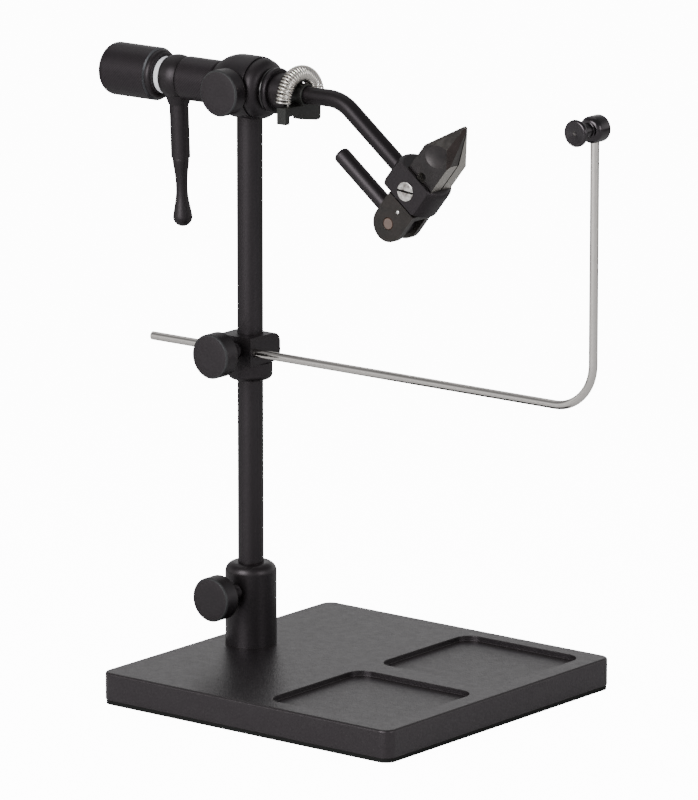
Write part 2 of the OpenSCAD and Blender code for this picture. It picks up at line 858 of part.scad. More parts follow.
module crank_stem() {
    start = shaft_bore_r + 2 * tip_gap;
    color(black_coat)
        along_crank()
            translate([0, 0, start])
                cylinder(h = crank_stem_reach - start, d = crank_stem_d);
}

module crank_handle() {
    root_share = 0.9;
    waist_share = 0.39;
    bulb_share = 0.84;
    l = crank_reach - crank_stem_reach - fit_gap;
    root_r = crank_stem_d / 2 * root_share;
    bulb_r = handle_bulb_d / 2;
    color(black_coat)
        along_crank()
            translate([0, 0, crank_stem_reach + fit_gap])
                rotate_extrude() {
                    polygon([
                        [0, 0], [root_r, 0], [handle_waist_d / 2, l * waist_share],
                        [bulb_r, l * bulb_share], [0, l * bulb_share]
                    ]);
                    intersection() {
                        translate([0, l * bulb_share]) square([bulb_r, l]);
                        translate([0, l - bulb_r]) circle(r = bulb_r);
                    }
                    translate([0, l * bulb_share]) square([bulb_r, l - bulb_r - l * bulb_share]);
                }
}

module nylon_washer() {
    edge = washer_t / 5;
    color(white_nylon)
        on_rotary_axis(washer_x0) turned(shaft_bore_r, washer_d / 2, washer_t, edge, edge);
}

module rear_knob() {
    r = rear_knob_d / 2;
    color(black_coat)
    difference() {
        union() {
            on_rotary_axis(rear_x0) turned(0, r, rear_knob_l - rear_band, rear_edge_r, 0);
            on_rotary_axis(rear_x1 - rear_band)
                turned(0, r - rear_band_drop, rear_band, 0, rear_band_drop);
        }
        on_rotary_axis(shaft_x0 - knob_bore_slack)
            cylinder(h = rear_knob_l, r = shaft_bore_r);
    }
}

// Front view of the clip's bracket
module clip_outline() {
    half = clip_arch_r + clip_foot_w / 2;
    far = half - clip_far_trim;
    foot_z = clip_foot_z - clip_far_foot_extra;
    translate([-half, clip_seat_z - clip_bar_h]) square([half + far, clip_bar_h]);
    translate([-half, clip_foot_z]) square([clip_foot_w, clip_seat_z - clip_foot_z]);
    difference() {
        translate([far - clip_foot_w, foot_z]) square([clip_foot_w, clip_seat_z - foot_z]);
        translate([far - clip_foot_round, foot_z]) square([clip_foot_round, clip_foot_round]);
    }
    translate([far - clip_foot_round, foot_z + clip_foot_round]) circle(r = clip_foot_round);
    polygon([
        [-clip_lug_near, clip_seat_z], [-clip_lug_near, rotary_z - clip_lug_drop],
        [far - clip_foot_w, foot_z], [far - clip_foot_w, clip_seat_z]
    ]);
    translate([0, rotary_z]) circle(r = clip_ring_r);
}

module clip_bracket() {
    x0 = clip_x - clip_t / 2;
    ring_x0 = front_hub_x1 + end_gap;
    ring_x1 = x0 + clip_t + clip_boss_l;
    color(black_coat)
    difference() {
        union() {
            translate([x0, 0, 0]) rotate([90, 0, 90]) linear_extrude(clip_t) clip_outline();
            on_rotary_axis(ring_x0) cylinder(h = ring_x1 - ring_x0, r = clip_ring_r);
        }
        on_rotary_axis(ring_x0 - cut) cylinder(h = ring_x1 - ring_x0 + 2 * cut, r = arm_r + fit_gap);
    }
}

// Outward direction and place on the spring's arch at a share of its length
function arch_out(share) = [0, -cos(180 * share), sin(180 * share)];
function arch_point(share) = [clip_x, 0, arch_z] + clip_arch_r * arch_out(share);

// Centre of the wire at a share of the spring's length
function coil_point(share) =
    arch_point(share)
    + coil_r * (cos(180 - 360 * clip_turns * share) * arch_out(share)
        + sin(180 - 360 * clip_turns * share) * [1, 0, 0]);

// Wire that rises from a foot and turns into the first curl
function elbow_points(side) = [
    [clip_x - elbow_r, side * (clip_arch_r - coil_r), clip_seat_z],
    for (i = [0 : elbow_steps - 1])
        let (a = 90 * i / elbow_steps)
        [clip_x - elbow_r * cos(a), side * (clip_arch_r - coil_r),
            arch_z - elbow_r + elbow_r * sin(a)]
];

function reversed(list) = [for (i = [len(list) - 1 : -1 : 0]) list[i]];

coil_steps = clip_turns * rings_per_turn;
coil_path = [
    each elbow_points(-1),
    for (i = [0 : coil_steps]) coil_point(i / coil_steps),
    each [for (p = reversed(elbow_points(1))) [2 * clip_x - p[0], p[1], p[2]]]
];

function unit(v) = v / norm(v);
function path_tangent(path, i) =
    unit(path[min(i + 1, len(path) - 1)] - path[max(i - 1, 0)]);

// Side direction of every ring, carried along the path so that the tube doesn't twist
function carried_sides(path) = [
    for (i = 0, s = [0, 1, 0]; i < len(path);
        i = i + 1,
        s = i < len(path)
            ? let (t = path_tangent(path, i)) unit(s - (s * t) * t)
            : s)
        s
];

// One unbroken tube of wire_sides sides round a path
module tube(path, r) {
    sides = carried_sides(path);
    rings = [
        for (i = [0 : len(path) - 1])
            let (t = path_tangent(path, i), u = sides[i], v = cross(t, u))
            for (k = [0 : wire_sides - 1])
                path[i] + r * (cos(360 * k / wire_sides) * u + sin(360 * k / wire_sides) * v)
    ];
    last = (len(path) - 1) * wire_sides;
    walls = [
        for (i = [0 : len(path) - 2], k = [0 : wire_sides - 1])
            let (a = i * wire_sides + k, b = i * wire_sides + (k + 1) % wire_sides)
            each [
                [a, b + wire_sides, b],
                [a, a + wire_sides, b + wire_sides]
            ]
    ];
    ends = [
        for (k = [1 : wire_sides - 2])
            each [[0, k, k + 1], [last, last + k + 1, last + k]]
    ];
    polyhedron(points = rings, faces = concat(walls, ends));
}

// Least distance between the surfaces of two curls, measured on the wire's points
coil_gap = min([
    for (i = [0 : len(coil_path) - 1])
        for (j = [i + rings_per_turn - 2 : 1 : min(i + 2 * rings_per_turn, len(coil_path) - 1)])
            norm(coil_path[i] - coil_path[j])
]) - clip_wire_d;

module clip_spring() {
    echo(least_gap_between_curls = coil_gap);
    color(steel) tube(coil_path, wire_r);
}

// Bent rod, laid out from the centre of its bend
module arm() {
    bend_run = arm_bend_r * tan(arm_angle / 2);
    bend_x = arm_corner_x - bend_run;
    high_l = bend_x - arm_seat_x;
    low_l = arm_run - bend_run + arm_depth - collar_r;
    color(black_coat)
    translate([bend_x, 0, rotary_z - arm_bend_r])
        rotate([90, 0, 0]) {
            rotate([0, 0, 90 - arm_angle]) {
                rotate_extrude(angle = arm_angle) translate([arm_bend_r, 0]) circle(r = arm_r);
                translate([arm_bend_r, 0, 0]) rotate([90, 0, 0]) cylinder(h = low_l, r = arm_r);
            }
            rotate([0, 0, 90])
                translate([arm_bend_r, high_l, 0])
                    rotate([90, 0, 0]) cylinder(h = high_l, r = arm_r);
        }
}

module jaw_collar() {
    h = collar_up + collar_down;
    half_y = jaw_y1 + recess_clear;
    color(black_coat)
    in_jaw_frame()
    difference() {
        intersection() {
            translate([0, 0, -collar_down]) turned(0, collar_r, h, collar_edge, collar_top_edge);
            translate([-collar_r, -collar_flat, -collar_down])
                cube([collar_d, 2 * collar_flat, h]);
        }
        translate([jaw_offset - jaw_w / 2 - recess_end_clear, -half_y, recess_floor_up])
            cube([jaw_w + 2 * recess_end_clear, 2 * half_y, collar_up]);
        translate([-collar_r - cut, 0, 0])
            rotate([0, 90, 0]) cylinder(h = arm_depth + cut + fit_gap, r = arm_r + fit_gap);
        translate([cam_x, 0, -collar_down - cut])
            cylinder(h = h + 2 * cut, r = plunger_r + run_gap);
        translate([cam_x, 0, -collar_down - cut])
            cylinder(h = yoke_stub_in + cut, r = yoke_stub_r + fit_gap);
        translate([jaw_screw_x, 0, -jaw_screw_drop])
            towards_near(0, collar_flat - jaw_screw_sink, 0)
                cylinder(h = collar_flat, r = jaw_screw_d / 2 + run_gap);
        translate([jaw_screw_x, 0, -jaw_screw_drop])
            towards_near(0, plunger_r + 2 * tip_gap, 0)
                cylinder(h = collar_flat, r = jaw_screw_shank_r + run_gap);
    }
}

module jaw_screw() {
    y0 = plunger_r + run_gap + 2 * tip_gap;
    y1 = collar_flat - jaw_screw_sink + tip_gap;
    color(steel)
    in_jaw_frame()
    translate([jaw_screw_x, 0, -jaw_screw_drop])
    difference() {
        union() {
            towards_near(0, y0, 0) cylinder(h = y1 - y0, r = jaw_screw_shank_r);
            towards_near(0, y1, 0)
                turned(0, jaw_screw_d / 2, jaw_screw_head_t, 0, jaw_screw_head_t / 4);
        }
        translate([0, -y1 - jaw_screw_head_t, 0])
            rotate([0, -slot_turn, 0])
                cube([jaw_screw_d * 2, slot_depth * 2, slot_w], center = true);
    }
}

// Side outline of a jaw half, in the jaw frame
module jaw_outline() {
    x0 = jaw_offset - jaw_w / 2;
    x1 = jaw_offset + jaw_w / 2;
    polygon([
        [x0, jaw_foot_up], [x1, jaw_foot_up], [x1, jaw_front_up],
        [jaw_tip_offset + jaw_tip_w / 2, jaw_tip_up],
        [jaw_tip_offset - jaw_tip_w / 2, jaw_tip_up],
        [x0, jaw_rear_up]
    ]);
}

// Thickness of a jaw half over its height, relieved below the hinge line
module jaw_thickness() {
    polygon([
        [jaw_relief, jaw_foot_up], [jaw_y1, jaw_foot_up], [jaw_y1, jaw_tip_up],
        [jaw_y0 / 2, jaw_tip_up], [jaw_y0, jaw_rear_up], [jaw_y0, jaw_relief_up]
    ]);
}

// Removes what lies on the outer side of the plane through three points
module above_plane(a, b, c) {
    n = unit(cross(b - a, c - a));
    translate(a)
        rotate([0, acos(n[2]), atan2(n[1], n[0])])
            translate([-jaw_tip_up, -jaw_tip_up, 0])
                cube([2 * jaw_tip_up, 2 * jaw_tip_up, jaw_tip_up]);
}

// One jaw half on the +Y side, in the jaw frame; its outer face ends in a gable
module jaw_half(hole_r) {
    x0 = jaw_offset - jaw_w / 2;
    x1 = jaw_offset + jaw_w / 2;
    tip = [jaw_tip_offset, jaw_y0 / 2 + jaw_tip_t, jaw_tip_up];
    peak = [jaw_peak_offset, jaw_y1, jaw_peak_up];
    difference() {
        intersection() {
            rotate([90, 0, 0])
                translate([0, 0, -jaw_y1]) linear_extrude(jaw_y1) jaw_outline();
            translate([x0 - cut, 0, 0])
                rotate([90, 0, 90]) linear_extrude(jaw_w + 2 * cut) jaw_thickness();
        }
        above_plane([x0, jaw_y1, jaw_rear_up], tip, peak);
        above_plane(peak, tip, [x1, jaw_y1, jaw_front_up - jaw_front_step]);
        translate([cam_x, 0, jaw_foot_up - cut])
            cylinder(h = plunger_tip_up - jaw_foot_up + cut + tip_gap * 5, r = plunger_r + cam_gap);
        translate([jaw_offset, 0, jaw_hinge_up])
            rotate([-90, 0, 0]) cylinder(h = jaw_y1 + cut, r = hole_r);
    }
}

module jaw_near() {
    color(black_dark) in_jaw_frame() mirror([0, 1, 0]) jaw_half(jaw_hole_r);
}

module jaw_far() {
    color(black_dark) in_jaw_frame() jaw_half(jaw_pin_r + fit_gap);
}

module jaw_pin() {
    half = jaw_y1 - jaw_pin_short;
    color(black_dark)
        in_jaw_frame()
            translate([jaw_offset, -half, jaw_hinge_up])
                rotate([-90, 0, 0]) cylinder(h = 2 * half, r = jaw_pin_r);
}

module jaw_plunger() {
    color(steel)
        in_jaw_frame()
            translate([cam_x, 0, plunger_foot])
                rotate_extrude()
                    polygon([
                        [0, 0], [plunger_r, 0], [plunger_r, plunger_cone_up - plunger_foot],
                        [plunger_tip_r, plunger_tip_up - plunger_foot],
                        [0, plunger_tip_up - plunger_foot]
                    ]);
}

// Side outline of the yoke's cheeks: straight flanks with a round end
module cheek_outline() {
    translate([cam_x - yoke_r, -cam_pin_down])
        square([yoke_w, cam_pin_down + yoke_top]);
    translate([cam_x, -cam_pin_down]) circle(r = yoke_r);
}

module cam_yoke() {
    web_z = yoke_top - yoke_web_t;
    color(black_coat)
    in_jaw_frame()
    difference() {
        union() {
            rotate([90, 0, 0])
                translate([0, 0, -yoke_half_y]) linear_extrude(2 * yoke_half_y) cheek_outline();
            translate([cam_x, 0, yoke_top - cut])
                cylinder(h = cut + yoke_gap + yoke_stub_in - fit_gap, r = yoke_stub_r);
        }
        translate([cam_x - yoke_w, -yoke_slot / 2, -cam_pin_down - yoke_w])
            cube([2 * yoke_w, yoke_slot, cam_pin_down + yoke_w + web_z]);
        translate([cam_x, 0, web_z - cut])
            cylinder(h = cam_pin_down, r = plunger_r + run_gap);
        translate([cam_x, -yoke_half_y - cut, -cam_pin_down])
            rotate([-90, 0, 0]) cylinder(h = 2 * (yoke_half_y + cut), r = cam_pin_r + fit_gap);
        translate([cam_x + dowel_offset, -yoke_half_y - cut, -dowel_drop])
            rotate([-90, 0, 0]) cylinder(h = 2 * (yoke_half_y + cut), r = dowel_r + fit_gap);
    }
}

// Two short dowels, one through each cheek
module yoke_dowels() {
    color(steel)
        in_jaw_frame()
            for (y = [-yoke_half_y, yoke_slot / 2])
                translate([cam_x + dowel_offset, y, -dowel_drop])
                    rotate([-90, 0, 0]) cylinder(h = yoke_cheek_t, r = dowel_r);
}

module cam_pin() {
    color(bronze)
        in_jaw_frame()
            translate([cam_x, -yoke_half_y, -cam_pin_down])
                rotate([-90, 0, 0]) cylinder(h = 2 * yoke_half_y, r = cam_pin_r);
}

// The lever rod points away from the jaws along the arm
module cam_head() {
    color(black_dark)
    in_jaw_frame()
    difference() {
        translate([cam_x, -cam_half_y, cam_head_z])
            rotate([-90, 0, 0]) cylinder(h = 2 * cam_half_y, r = cam_head_r);
        translate([cam_x, -cam_half_y - cut, -cam_pin_down])
            rotate([-90, 0, 0]) cylinder(h = 2 * (cam_half_y + cut), r = cam_pin_r + run_gap);
        translate([cam_x - cam_pin_r - lever_root_wall, 0, cam_head_z])
            rotate([0, -90, 0]) cylinder(h = cam_head_d, r = lever_r * lever_tang_share + fit_gap);
    }
}

// Rod with a tang that sits in the cam's head
module cam_lever() {
    tang = cam_pin_r + lever_root_wall + fit_gap;
    start = cam_head_r / 2;
    color(black_coat)
    in_jaw_frame()
    translate([cam_x, 0, cam_head_z]) {
        difference() {
            rotate([0, -90, 0])
                translate([0, 0, start]) turned(0, lever_r, lever_reach - start, 0, lever_end_r);
            translate([0, -lever_d, 0])
                rotate([-90, 0, 0]) cylinder(h = 2 * lever_d, r = cam_head_r + fit_gap);
        }
        rotate([0, -90, 0])
            translate([0, 0, tang])
                cylinder(h = cam_head_d - tang, r = lever_r * lever_tang_share);
    }
}

base_plate();
base_pad();
socket_bolt();
post_socket();
base_screw_knob();
base_screw_stud();
post();
stop_collar();
stop_collar_screw();
cradle_clamp();
cradle_screw_knob();
cradle_screw_stud();
cradle_rod();
cradle_spool();
head_housing();
head_front_cap();
front_bushing();
rear_bushing();
head_set_screw();
tension_knob();
tension_stud();
tension_pad();
rotary_shaft();
knurled_sleeve();
sleeve_set_screw();
front_hub();
hub_ring();
crank_hub();
crank_stem();
crank_handle();
nylon_washer();
rear_knob();
clip_bracket();
clip_spring();
arm();
jaw_collar();
jaw_screw();
jaw_near();
jaw_far();
jaw_pin();
jaw_plunger();
cam_yoke();
yoke_dowels();
cam_pin();
cam_head();
cam_lever();
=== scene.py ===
"""Looks of a rotary fly tying vise: finishes, knurls, threads, spring, stage and camera."""

import json
import math

import bmesh
import bpy
from mathutils import Matrix, Vector

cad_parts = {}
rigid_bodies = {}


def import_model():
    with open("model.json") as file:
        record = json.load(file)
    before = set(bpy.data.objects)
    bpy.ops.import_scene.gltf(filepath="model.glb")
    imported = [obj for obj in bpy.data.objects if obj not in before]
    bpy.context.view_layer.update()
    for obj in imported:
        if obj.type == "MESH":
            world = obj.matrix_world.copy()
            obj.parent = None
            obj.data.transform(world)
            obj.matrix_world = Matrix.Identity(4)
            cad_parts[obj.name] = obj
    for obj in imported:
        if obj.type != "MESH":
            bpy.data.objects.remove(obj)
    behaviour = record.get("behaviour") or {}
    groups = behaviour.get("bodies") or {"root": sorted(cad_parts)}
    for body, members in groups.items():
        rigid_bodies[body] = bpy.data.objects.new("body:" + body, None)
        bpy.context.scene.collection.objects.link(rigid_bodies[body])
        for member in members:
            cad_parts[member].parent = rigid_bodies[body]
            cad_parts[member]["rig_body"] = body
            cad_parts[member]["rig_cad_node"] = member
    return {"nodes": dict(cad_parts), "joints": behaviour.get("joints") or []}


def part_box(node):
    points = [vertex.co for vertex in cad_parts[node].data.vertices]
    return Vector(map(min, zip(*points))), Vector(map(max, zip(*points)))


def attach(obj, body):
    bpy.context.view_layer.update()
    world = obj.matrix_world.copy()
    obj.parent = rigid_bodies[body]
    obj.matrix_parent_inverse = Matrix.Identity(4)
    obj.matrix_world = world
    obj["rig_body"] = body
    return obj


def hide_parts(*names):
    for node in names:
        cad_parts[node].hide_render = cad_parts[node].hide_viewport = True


bl_info = {
    "name": "Fly Tying Vise",
    "version": (1, 0, 0),
    "blender": (4, 5, 0),
    "location": "View3D > Sidebar > Vise",
    "description": "Dresses a fly tying vise's solids and sets up a plain studio around them",
    "category": "Object",
}

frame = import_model()
NODES = frame["nodes"]
JOINTS = {joint["name"]: joint for joint in frame["joints"]}
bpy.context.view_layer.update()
MM = 0.001

# Two measures closer than this are the same
HAIR = 1e-7
# A corner lies on a surface, or on another corner, within this
SNUG = 1e-6

# Thumb screws and the spool lie along the first direction, the rear knob and the sleeve along the other
TO_NEAR_SIDE = Vector((0, -1, 0))
TO_JAWS = Vector((1, 0, 0))

ROTARY_AXIS_Z = JOINTS["rotary_turn"]["pos_m"][2]
CRANK_LEAN = math.radians(2.5)
CRANK_STEM_END = 30.22 * MM

# The jaws' foot, the direction forward across their blade and the one up to their tip
JAW_FOOT = Vector((77.6 * MM, 0, 193.3 * MM))
JAW_ALONG = Vector((0.7859, 0, -0.6184))
JAW_UP = Vector((0.6184, 0, 0.7859))

# What all lengths and all colours of the panel share
LENGTH = {"subtype": "DISTANCE", "unit": "LENGTH"}
COLOUR = {"subtype": "COLOR", "size": 3, "min": 0, "max": 1}


class ViseSizes(bpy.types.PropertyGroup):
    """Sizes of the details that are added to the solids"""

    knurl_pitch: bpy.props.FloatProperty(
        name="Knurl pitch", description="Width of one diamond of the knurls",
        default=1.1 * MM, min=0.4 * MM, max=2 * MM, **LENGTH,
    )
    knurl_depth: bpy.props.FloatProperty(
        name="Knurl depth", description="Depth of the grooves between the diamonds",
        default=0.3 * MM, min=0.02 * MM, max=0.5 * MM, **LENGTH,
    )
    thread_pitch: bpy.props.FloatProperty(
        name="Thread pitch", description="Distance between the crests of the screws' threads",
        default=1.0 * MM, min=0.5 * MM, max=2 * MM, **LENGTH,
    )
    thread_depth: bpy.props.FloatProperty(
        name="Thread depth", description="Depth of the screws' threads",
        default=0.4 * MM, min=0.1 * MM, max=0.8 * MM, **LENGTH,
    )
    spring_turns: bpy.props.IntProperty(
        name="Spring turns", description="Number of curls of the material clip's spring",
        default=29, min=12, max=60,
    )
    spring_wire: bpy.props.FloatProperty(
        name="Spring wire", description="Diameter of the spring's wire",
        default=0.74 * MM, min=0.3 * MM, max=1 * MM, **LENGTH,
    )
    hollow_reach: bpy.props.FloatProperty(
        name="Jaw hollow reach", description="Radius of the shallow hollow ground into each jaw's cheek",
        default=4.9 * MM, min=2 * MM, max=6 * MM, **LENGTH,
    )
    hollow_depth: bpy.props.FloatProperty(
        name="Jaw hollow depth", description="Depth of that hollow",
        default=0.8 * MM, min=0.1 * MM, max=1.2 * MM, **LENGTH,
    )
    edge_break: bpy.props.FloatProperty(
        name="Edge break", description="Width of the bevel along a jaw's edges, which other edges follow",
        default=0.2 * MM, min=0.02 * MM, max=0.3 * MM, **LENGTH,
    )


class ViseColours(bpy.types.PropertyGroup):
    """Colours of the vise's finishes"""

    powder: bpy.props.FloatVectorProperty(
        name="Powder coat", description="Colour of the base's powder coat",
        default=(0.0045, 0.0034, 0.0040), **COLOUR,
    )
    black: bpy.props.FloatVectorProperty(
        name="Black finish", description="Colour of the satin black metal",
        default=(0.0052, 0.0042, 0.0046), **COLOUR,
    )
    knurl: bpy.props.FloatVectorProperty(
        name="Knurl finish", description="Colour of the knurled black metal",
        default=(0.0070, 0.0052, 0.0062), **COLOUR,
    )
    jaw: bpy.props.FloatVectorProperty(
        name="Jaw finish", description="Colour of the polished black jaws",
        default=(0.0044, 0.0037, 0.0037), **COLOUR,
    )
    steel: bpy.props.FloatVectorProperty(
        name="Bright steel", description="Colour of the bare steel",
        default=(0.66, 0.63, 0.60), **COLOUR,
    )
    nylon: bpy.props.FloatVectorProperty(
        name="Nylon", description="Colour of the white washer",
        default=(0.78, 0.78, 0.82), **COLOUR,
    )
    bracket: bpy.props.FloatVectorProperty(
        name="Clip bracket", description="Colour of the clip's bracket",
        default=(0.0070, 0.0074, 0.0060), **COLOUR,
    )
    spool: bpy.props.FloatVectorProperty(
        name="Spool", description="Colour of the glossy spool",
        default=(0.0030, 0.0030, 0.0033), **COLOUR,
    )
    copper: bpy.props.FloatVectorProperty(
        name="Cam pin", description="Colour of the cam pin's end",
        default=(0.17, 0.125, 0.108), **COLOUR,
    )


def sizes():
    return bpy.context.scene.vise_sizes


def colours():
    return bpy.context.scene.vise_colours


# Shader nodes

def feed(tree, value, entry):
    """Link another node's output to an input, or set the input to a plain value."""
    if isinstance(value, bpy.types.NodeSocket):
        tree.links.new(value, entry)
    elif entry.type == "RGBA":
        entry.default_value = (*value, 1)
    else:
        entry.default_value = value


def placed(tree, kind, inputs, group=None):
    """A new node with its named inputs fed, and with its group where it shows one."""
    node = tree.nodes.new(kind)
    if group:
        node.node_tree = group
    for name, value in inputs.items():
        feed(tree, value, node.inputs[name])
    return node


def object_place(tree):
    return tree.nodes.new("ShaderNodeTexCoord").outputs["Object"]


def noise(tree, place, scale, detail=4, rough=0.55):
    inputs = {"Vector": place, "Scale": scale, "Detail": detail, "Roughness": rough}
    return placed(tree, "ShaderNodeTexNoise", inputs).outputs["Fac"]


def remap(tree, value, taken, given=(0, 1)):
    """A value stretched from the range taken to the range given, and held at its ends."""
    inputs = {
        "Value": value, "From Min": taken[0], "From Max": taken[1], "To Min": given[0], "To Max": given[1],
    }
    return placed(tree, "ShaderNodeMapRange", inputs).outputs["Result"]


def maths(tree, how, a, b):
    node = tree.nodes.new("ShaderNodeMath")
    node.operation = how
    feed(tree, a, node.inputs[0])
    feed(tree, b, node.inputs[1])
    return node.outputs[0]


def mixed(tree, factor, a, b):
    """The first colour, turned into the second by the factor."""
    node = tree.nodes.new("ShaderNodeMix")
    node.data_type = "RGBA"
    feed(tree, factor, node.inputs["Factor"])
    first, second = (entry for entry in node.inputs if entry.type == "RGBA")
    feed(tree, a, first)
    feed(tree, b, second)
    return next(made for made in node.outputs if made.type == "RGBA")


def lean(tree, vector, x, y):
    """How far a place or direction lies along the level direction (x, y)."""
    split = tree.nodes.new("ShaderNodeSeparateXYZ")
    feed(tree, vector, split.inputs[0])
    along_x = maths(tree, "MULTIPLY", split.outputs["X"], x)
    return maths(tree, "ADD", along_x, maths(tree, "MULTIPLY", split.outputs["Y"], y))


# Shader groups

def ends(tree, taken, given):
    """Name a group's inputs and outputs, and return those to read from and those to feed."""
    for way, kinds in (("INPUT", taken), ("OUTPUT", given)):
        for name, kind in kinds.items():
            tree.interface.new_socket(name=name, in_out=way, socket_type=f"NodeSocket{kind}")
    return tree.nodes.new("NodeGroupInput").outputs, tree.nodes.new("NodeGroupOutput").inputs


def grouped(tree, name, fill, inputs):
    """The outputs of a group's node. The group is made when first used, and fill(its tree) fills it."""
    if name not in bpy.data.node_groups:
        fill(bpy.data.node_groups.new(name, "ShaderNodeTree"))
    return placed(tree, "ShaderNodeGroup", inputs, bpy.data.node_groups[name]).outputs


def handled_surface(tree):
    """Clouding, faint smudges and specks of dust, as any handled metal shows."""
    taken = {
        "Colour": "Color", "Dust": "Color", "Dust Amount": "Float",
        "Roughness": "Float", "Roughness Spread": "Float",
    }
    enter, leave = ends(tree, taken, given={"Colour": "Color", "Roughness": "Float"})
    place = object_place(tree)
    cloud = noise(tree, place, scale=90, detail=5, rough=0.6)
    smudge = noise(tree, place, scale=320, detail=3, rough=0.5)
    speck = noise(tree, place, scale=2600, detail=1, rough=0.4)
    faint = remap(tree, cloud, taken=(0.3, 0.7), given=(0, 0.35))
    lighter = mixed(tree, faint, enter["Colour"], enter["Dust"])
    most_cloud = maths(tree, "MULTIPLY", enter["Dust Amount"], 0.35)
    clouded = maths(tree, "MULTIPLY", remap(tree, cloud, taken=(0.35, 0.75)), most_cloud)
    toned = mixed(tree, clouded, enter["Colour"], lighter)
    dusty = maths(tree, "MULTIPLY", remap(tree, speck, taken=(0.70, 0.80)), enter["Dust Amount"])
    feed(tree, mixed(tree, dusty, toned, enter["Dust"]), leave["Colour"])
    swing = maths(tree, "MULTIPLY", maths(tree, "SUBTRACT", smudge, 0.5), enter["Roughness Spread"])
    full_swing = maths(tree, "MULTIPLY", swing, 2)
    feed(tree, maths(tree, "ADD", enter["Roughness"], full_swing), leave["Roughness"])


def patchy_tone(tree):
    """Soft patches of a second tone, as on steel that was handled, oiled and ground by hand."""
    taken = {"Colour": "Color", "Tone": "Color", "Fineness": "Float"}
    enter, leave = ends(tree, taken, given={"Colour": "Color"})
    cloud = noise(tree, object_place(tree), enter["Fineness"], detail=3, rough=0.6)
    patch = remap(tree, cloud, taken=(0.42, 0.62))
    feed(tree, mixed(tree, patch, enter["Colour"], enter["Tone"]), leave["Colour"])


def fine_grain(tree):
    """Height of a fine even grain, such as blasted metal or powder coat."""
    enter, leave = ends(tree, {"Fineness": "Float"}, {"Height": "Float"})
    place = object_place(tree)
    cells = placed(tree, "ShaderNodeTexVoronoi", {"Vector": place, "Scale": enter["Fineness"]})
    cells.feature = "SMOOTH_F1"
    coarser = maths(tree, "MULTIPLY", enter["Fineness"], 0.45)
    ripple = maths(tree, "MULTIPLY", noise(tree, place, coarser, detail=3, rough=0.5), 0.6)
    pebbles = maths(tree, "MULTIPLY", cells.outputs["Distance"], 0.7)
    feed(tree, maths(tree, "ADD", pebbles, ripple), leave["Height"])


def drawn_lines(tree):
    """Height of the fine lines that drawing leaves along the axis whose stretch is the smallest."""
    enter, leave = ends(tree, {"Stretch": "Vector"}, {"Height": "Float"})
    scaled = tree.nodes.new("ShaderNodeVectorMath")
    scaled.operation = "MULTIPLY"
    feed(tree, object_place(tree), scaled.inputs[0])
    feed(tree, enter["Stretch"], scaled.inputs[1])
    feed(tree, noise(tree, scaled.outputs[0], scale=1, detail=6, rough=0.7), leave["Height"])


# Finishes

GREY_DUST = (0.10, 0.095, 0.095)
STEEL_DUST = (0.3, 0.29, 0.28)
WORN_DUST = (0.3, 0.28, 0.26)
COOL_SHEEN = (1, 0.90, 0.97)
WARM_SHEEN = (1, 0.95, 0.92)
ROSY_SHEEN = (1, 0.93, 0.94)
BROWN_SHEEN = (1, 0.88, 0.86)
KNURL_SHEEN = (1, 0.89, 0.97)
# Colour of the knurls' crests: slight wear and a painted highlight
KNURL_CREST_TONE = (0.024, 0.021, 0.023)


def new_finish(name, metallic=0, specular=0.5, tint=(1, 1, 1)):
    """The node tree of a new material, and the inputs of its shader."""
    if name in bpy.data.materials:
        raise RuntimeError(f"the frame already has a material called {name}")
    made = bpy.data.materials.new(name)
    made.use_nodes = True
    shader = made.node_tree.nodes["Principled BSDF"].inputs
    shader["Metallic"].default_value = metallic
    shader["Specular IOR Level"].default_value = specular
    shader["Specular Tint"].default_value = (*tint, 1)
    return made.node_tree, shader


def handled(tree, shader, colour, dust, dust_amount, rough, spread):
    inputs = {
        "Colour": colour, "Dust": dust, "Dust Amount": dust_amount,
        "Roughness": rough, "Roughness Spread": spread,
    }
    surface = grouped(tree, "Handled Surface", handled_surface, inputs)
    feed(tree, surface["Colour"], shader["Base Color"])
    feed(tree, surface["Roughness"], shader["Roughness"])


def colour_so_far(shader):
    return shader["Base Color"].links[0].from_socket


def patched(tree, shader, fineness, tone):
    inputs = {"Colour": colour_so_far(shader), "Tone": tone, "Fineness": fineness}
    surface = grouped(tree, "Patchy Tone", patchy_tone, inputs)
    feed(tree, surface["Colour"], shader["Base Color"])


def bumped(tree, shader, height, strength, relief):
    inputs = {"Strength": strength, "Distance": relief, "Height": height}
    feed(tree, placed(tree, "ShaderNodeBump", inputs).outputs["Normal"], shader["Normal"])


def grained(tree, shader, grain, strength, relief):
    height = grouped(tree, "Fine Grain", fine_grain, {"Fineness": grain})["Height"]
    bumped(tree, shader, height, strength, relief)


def grained_finish(
    name, colour, rough, dust=GREY_DUST, dust_amount=0.1, spread=0.05,
    grain=2400, strength=0.2, relief=0.02 * MM, patches=None, **more,
):
    """A finish with a fine even grain, and with patches of (fineness, tone) where it has them."""
    tree, shader = new_finish(name, **more)
    handled(tree, shader, colour, dust, dust_amount, rough, spread)
    grained(tree, shader, grain, strength, relief)
    if patches:
        patched(tree, shader, *patches)


def lined_finish(name, colour, rough, stretch, dust=STEEL_DUST, dust_amount=0.1, spread=0.05, metallic=1):
    """Metal with drawn lines."""
    tree, shader = new_finish(name, metallic)
    handled(tree, shader, colour, dust, dust_amount, rough, spread)
    height = grouped(tree, "Drawn Lines", drawn_lines, {"Stretch": stretch})["Height"]
    bumped(tree, shader, height, strength=0.3, relief=0.01 * MM)


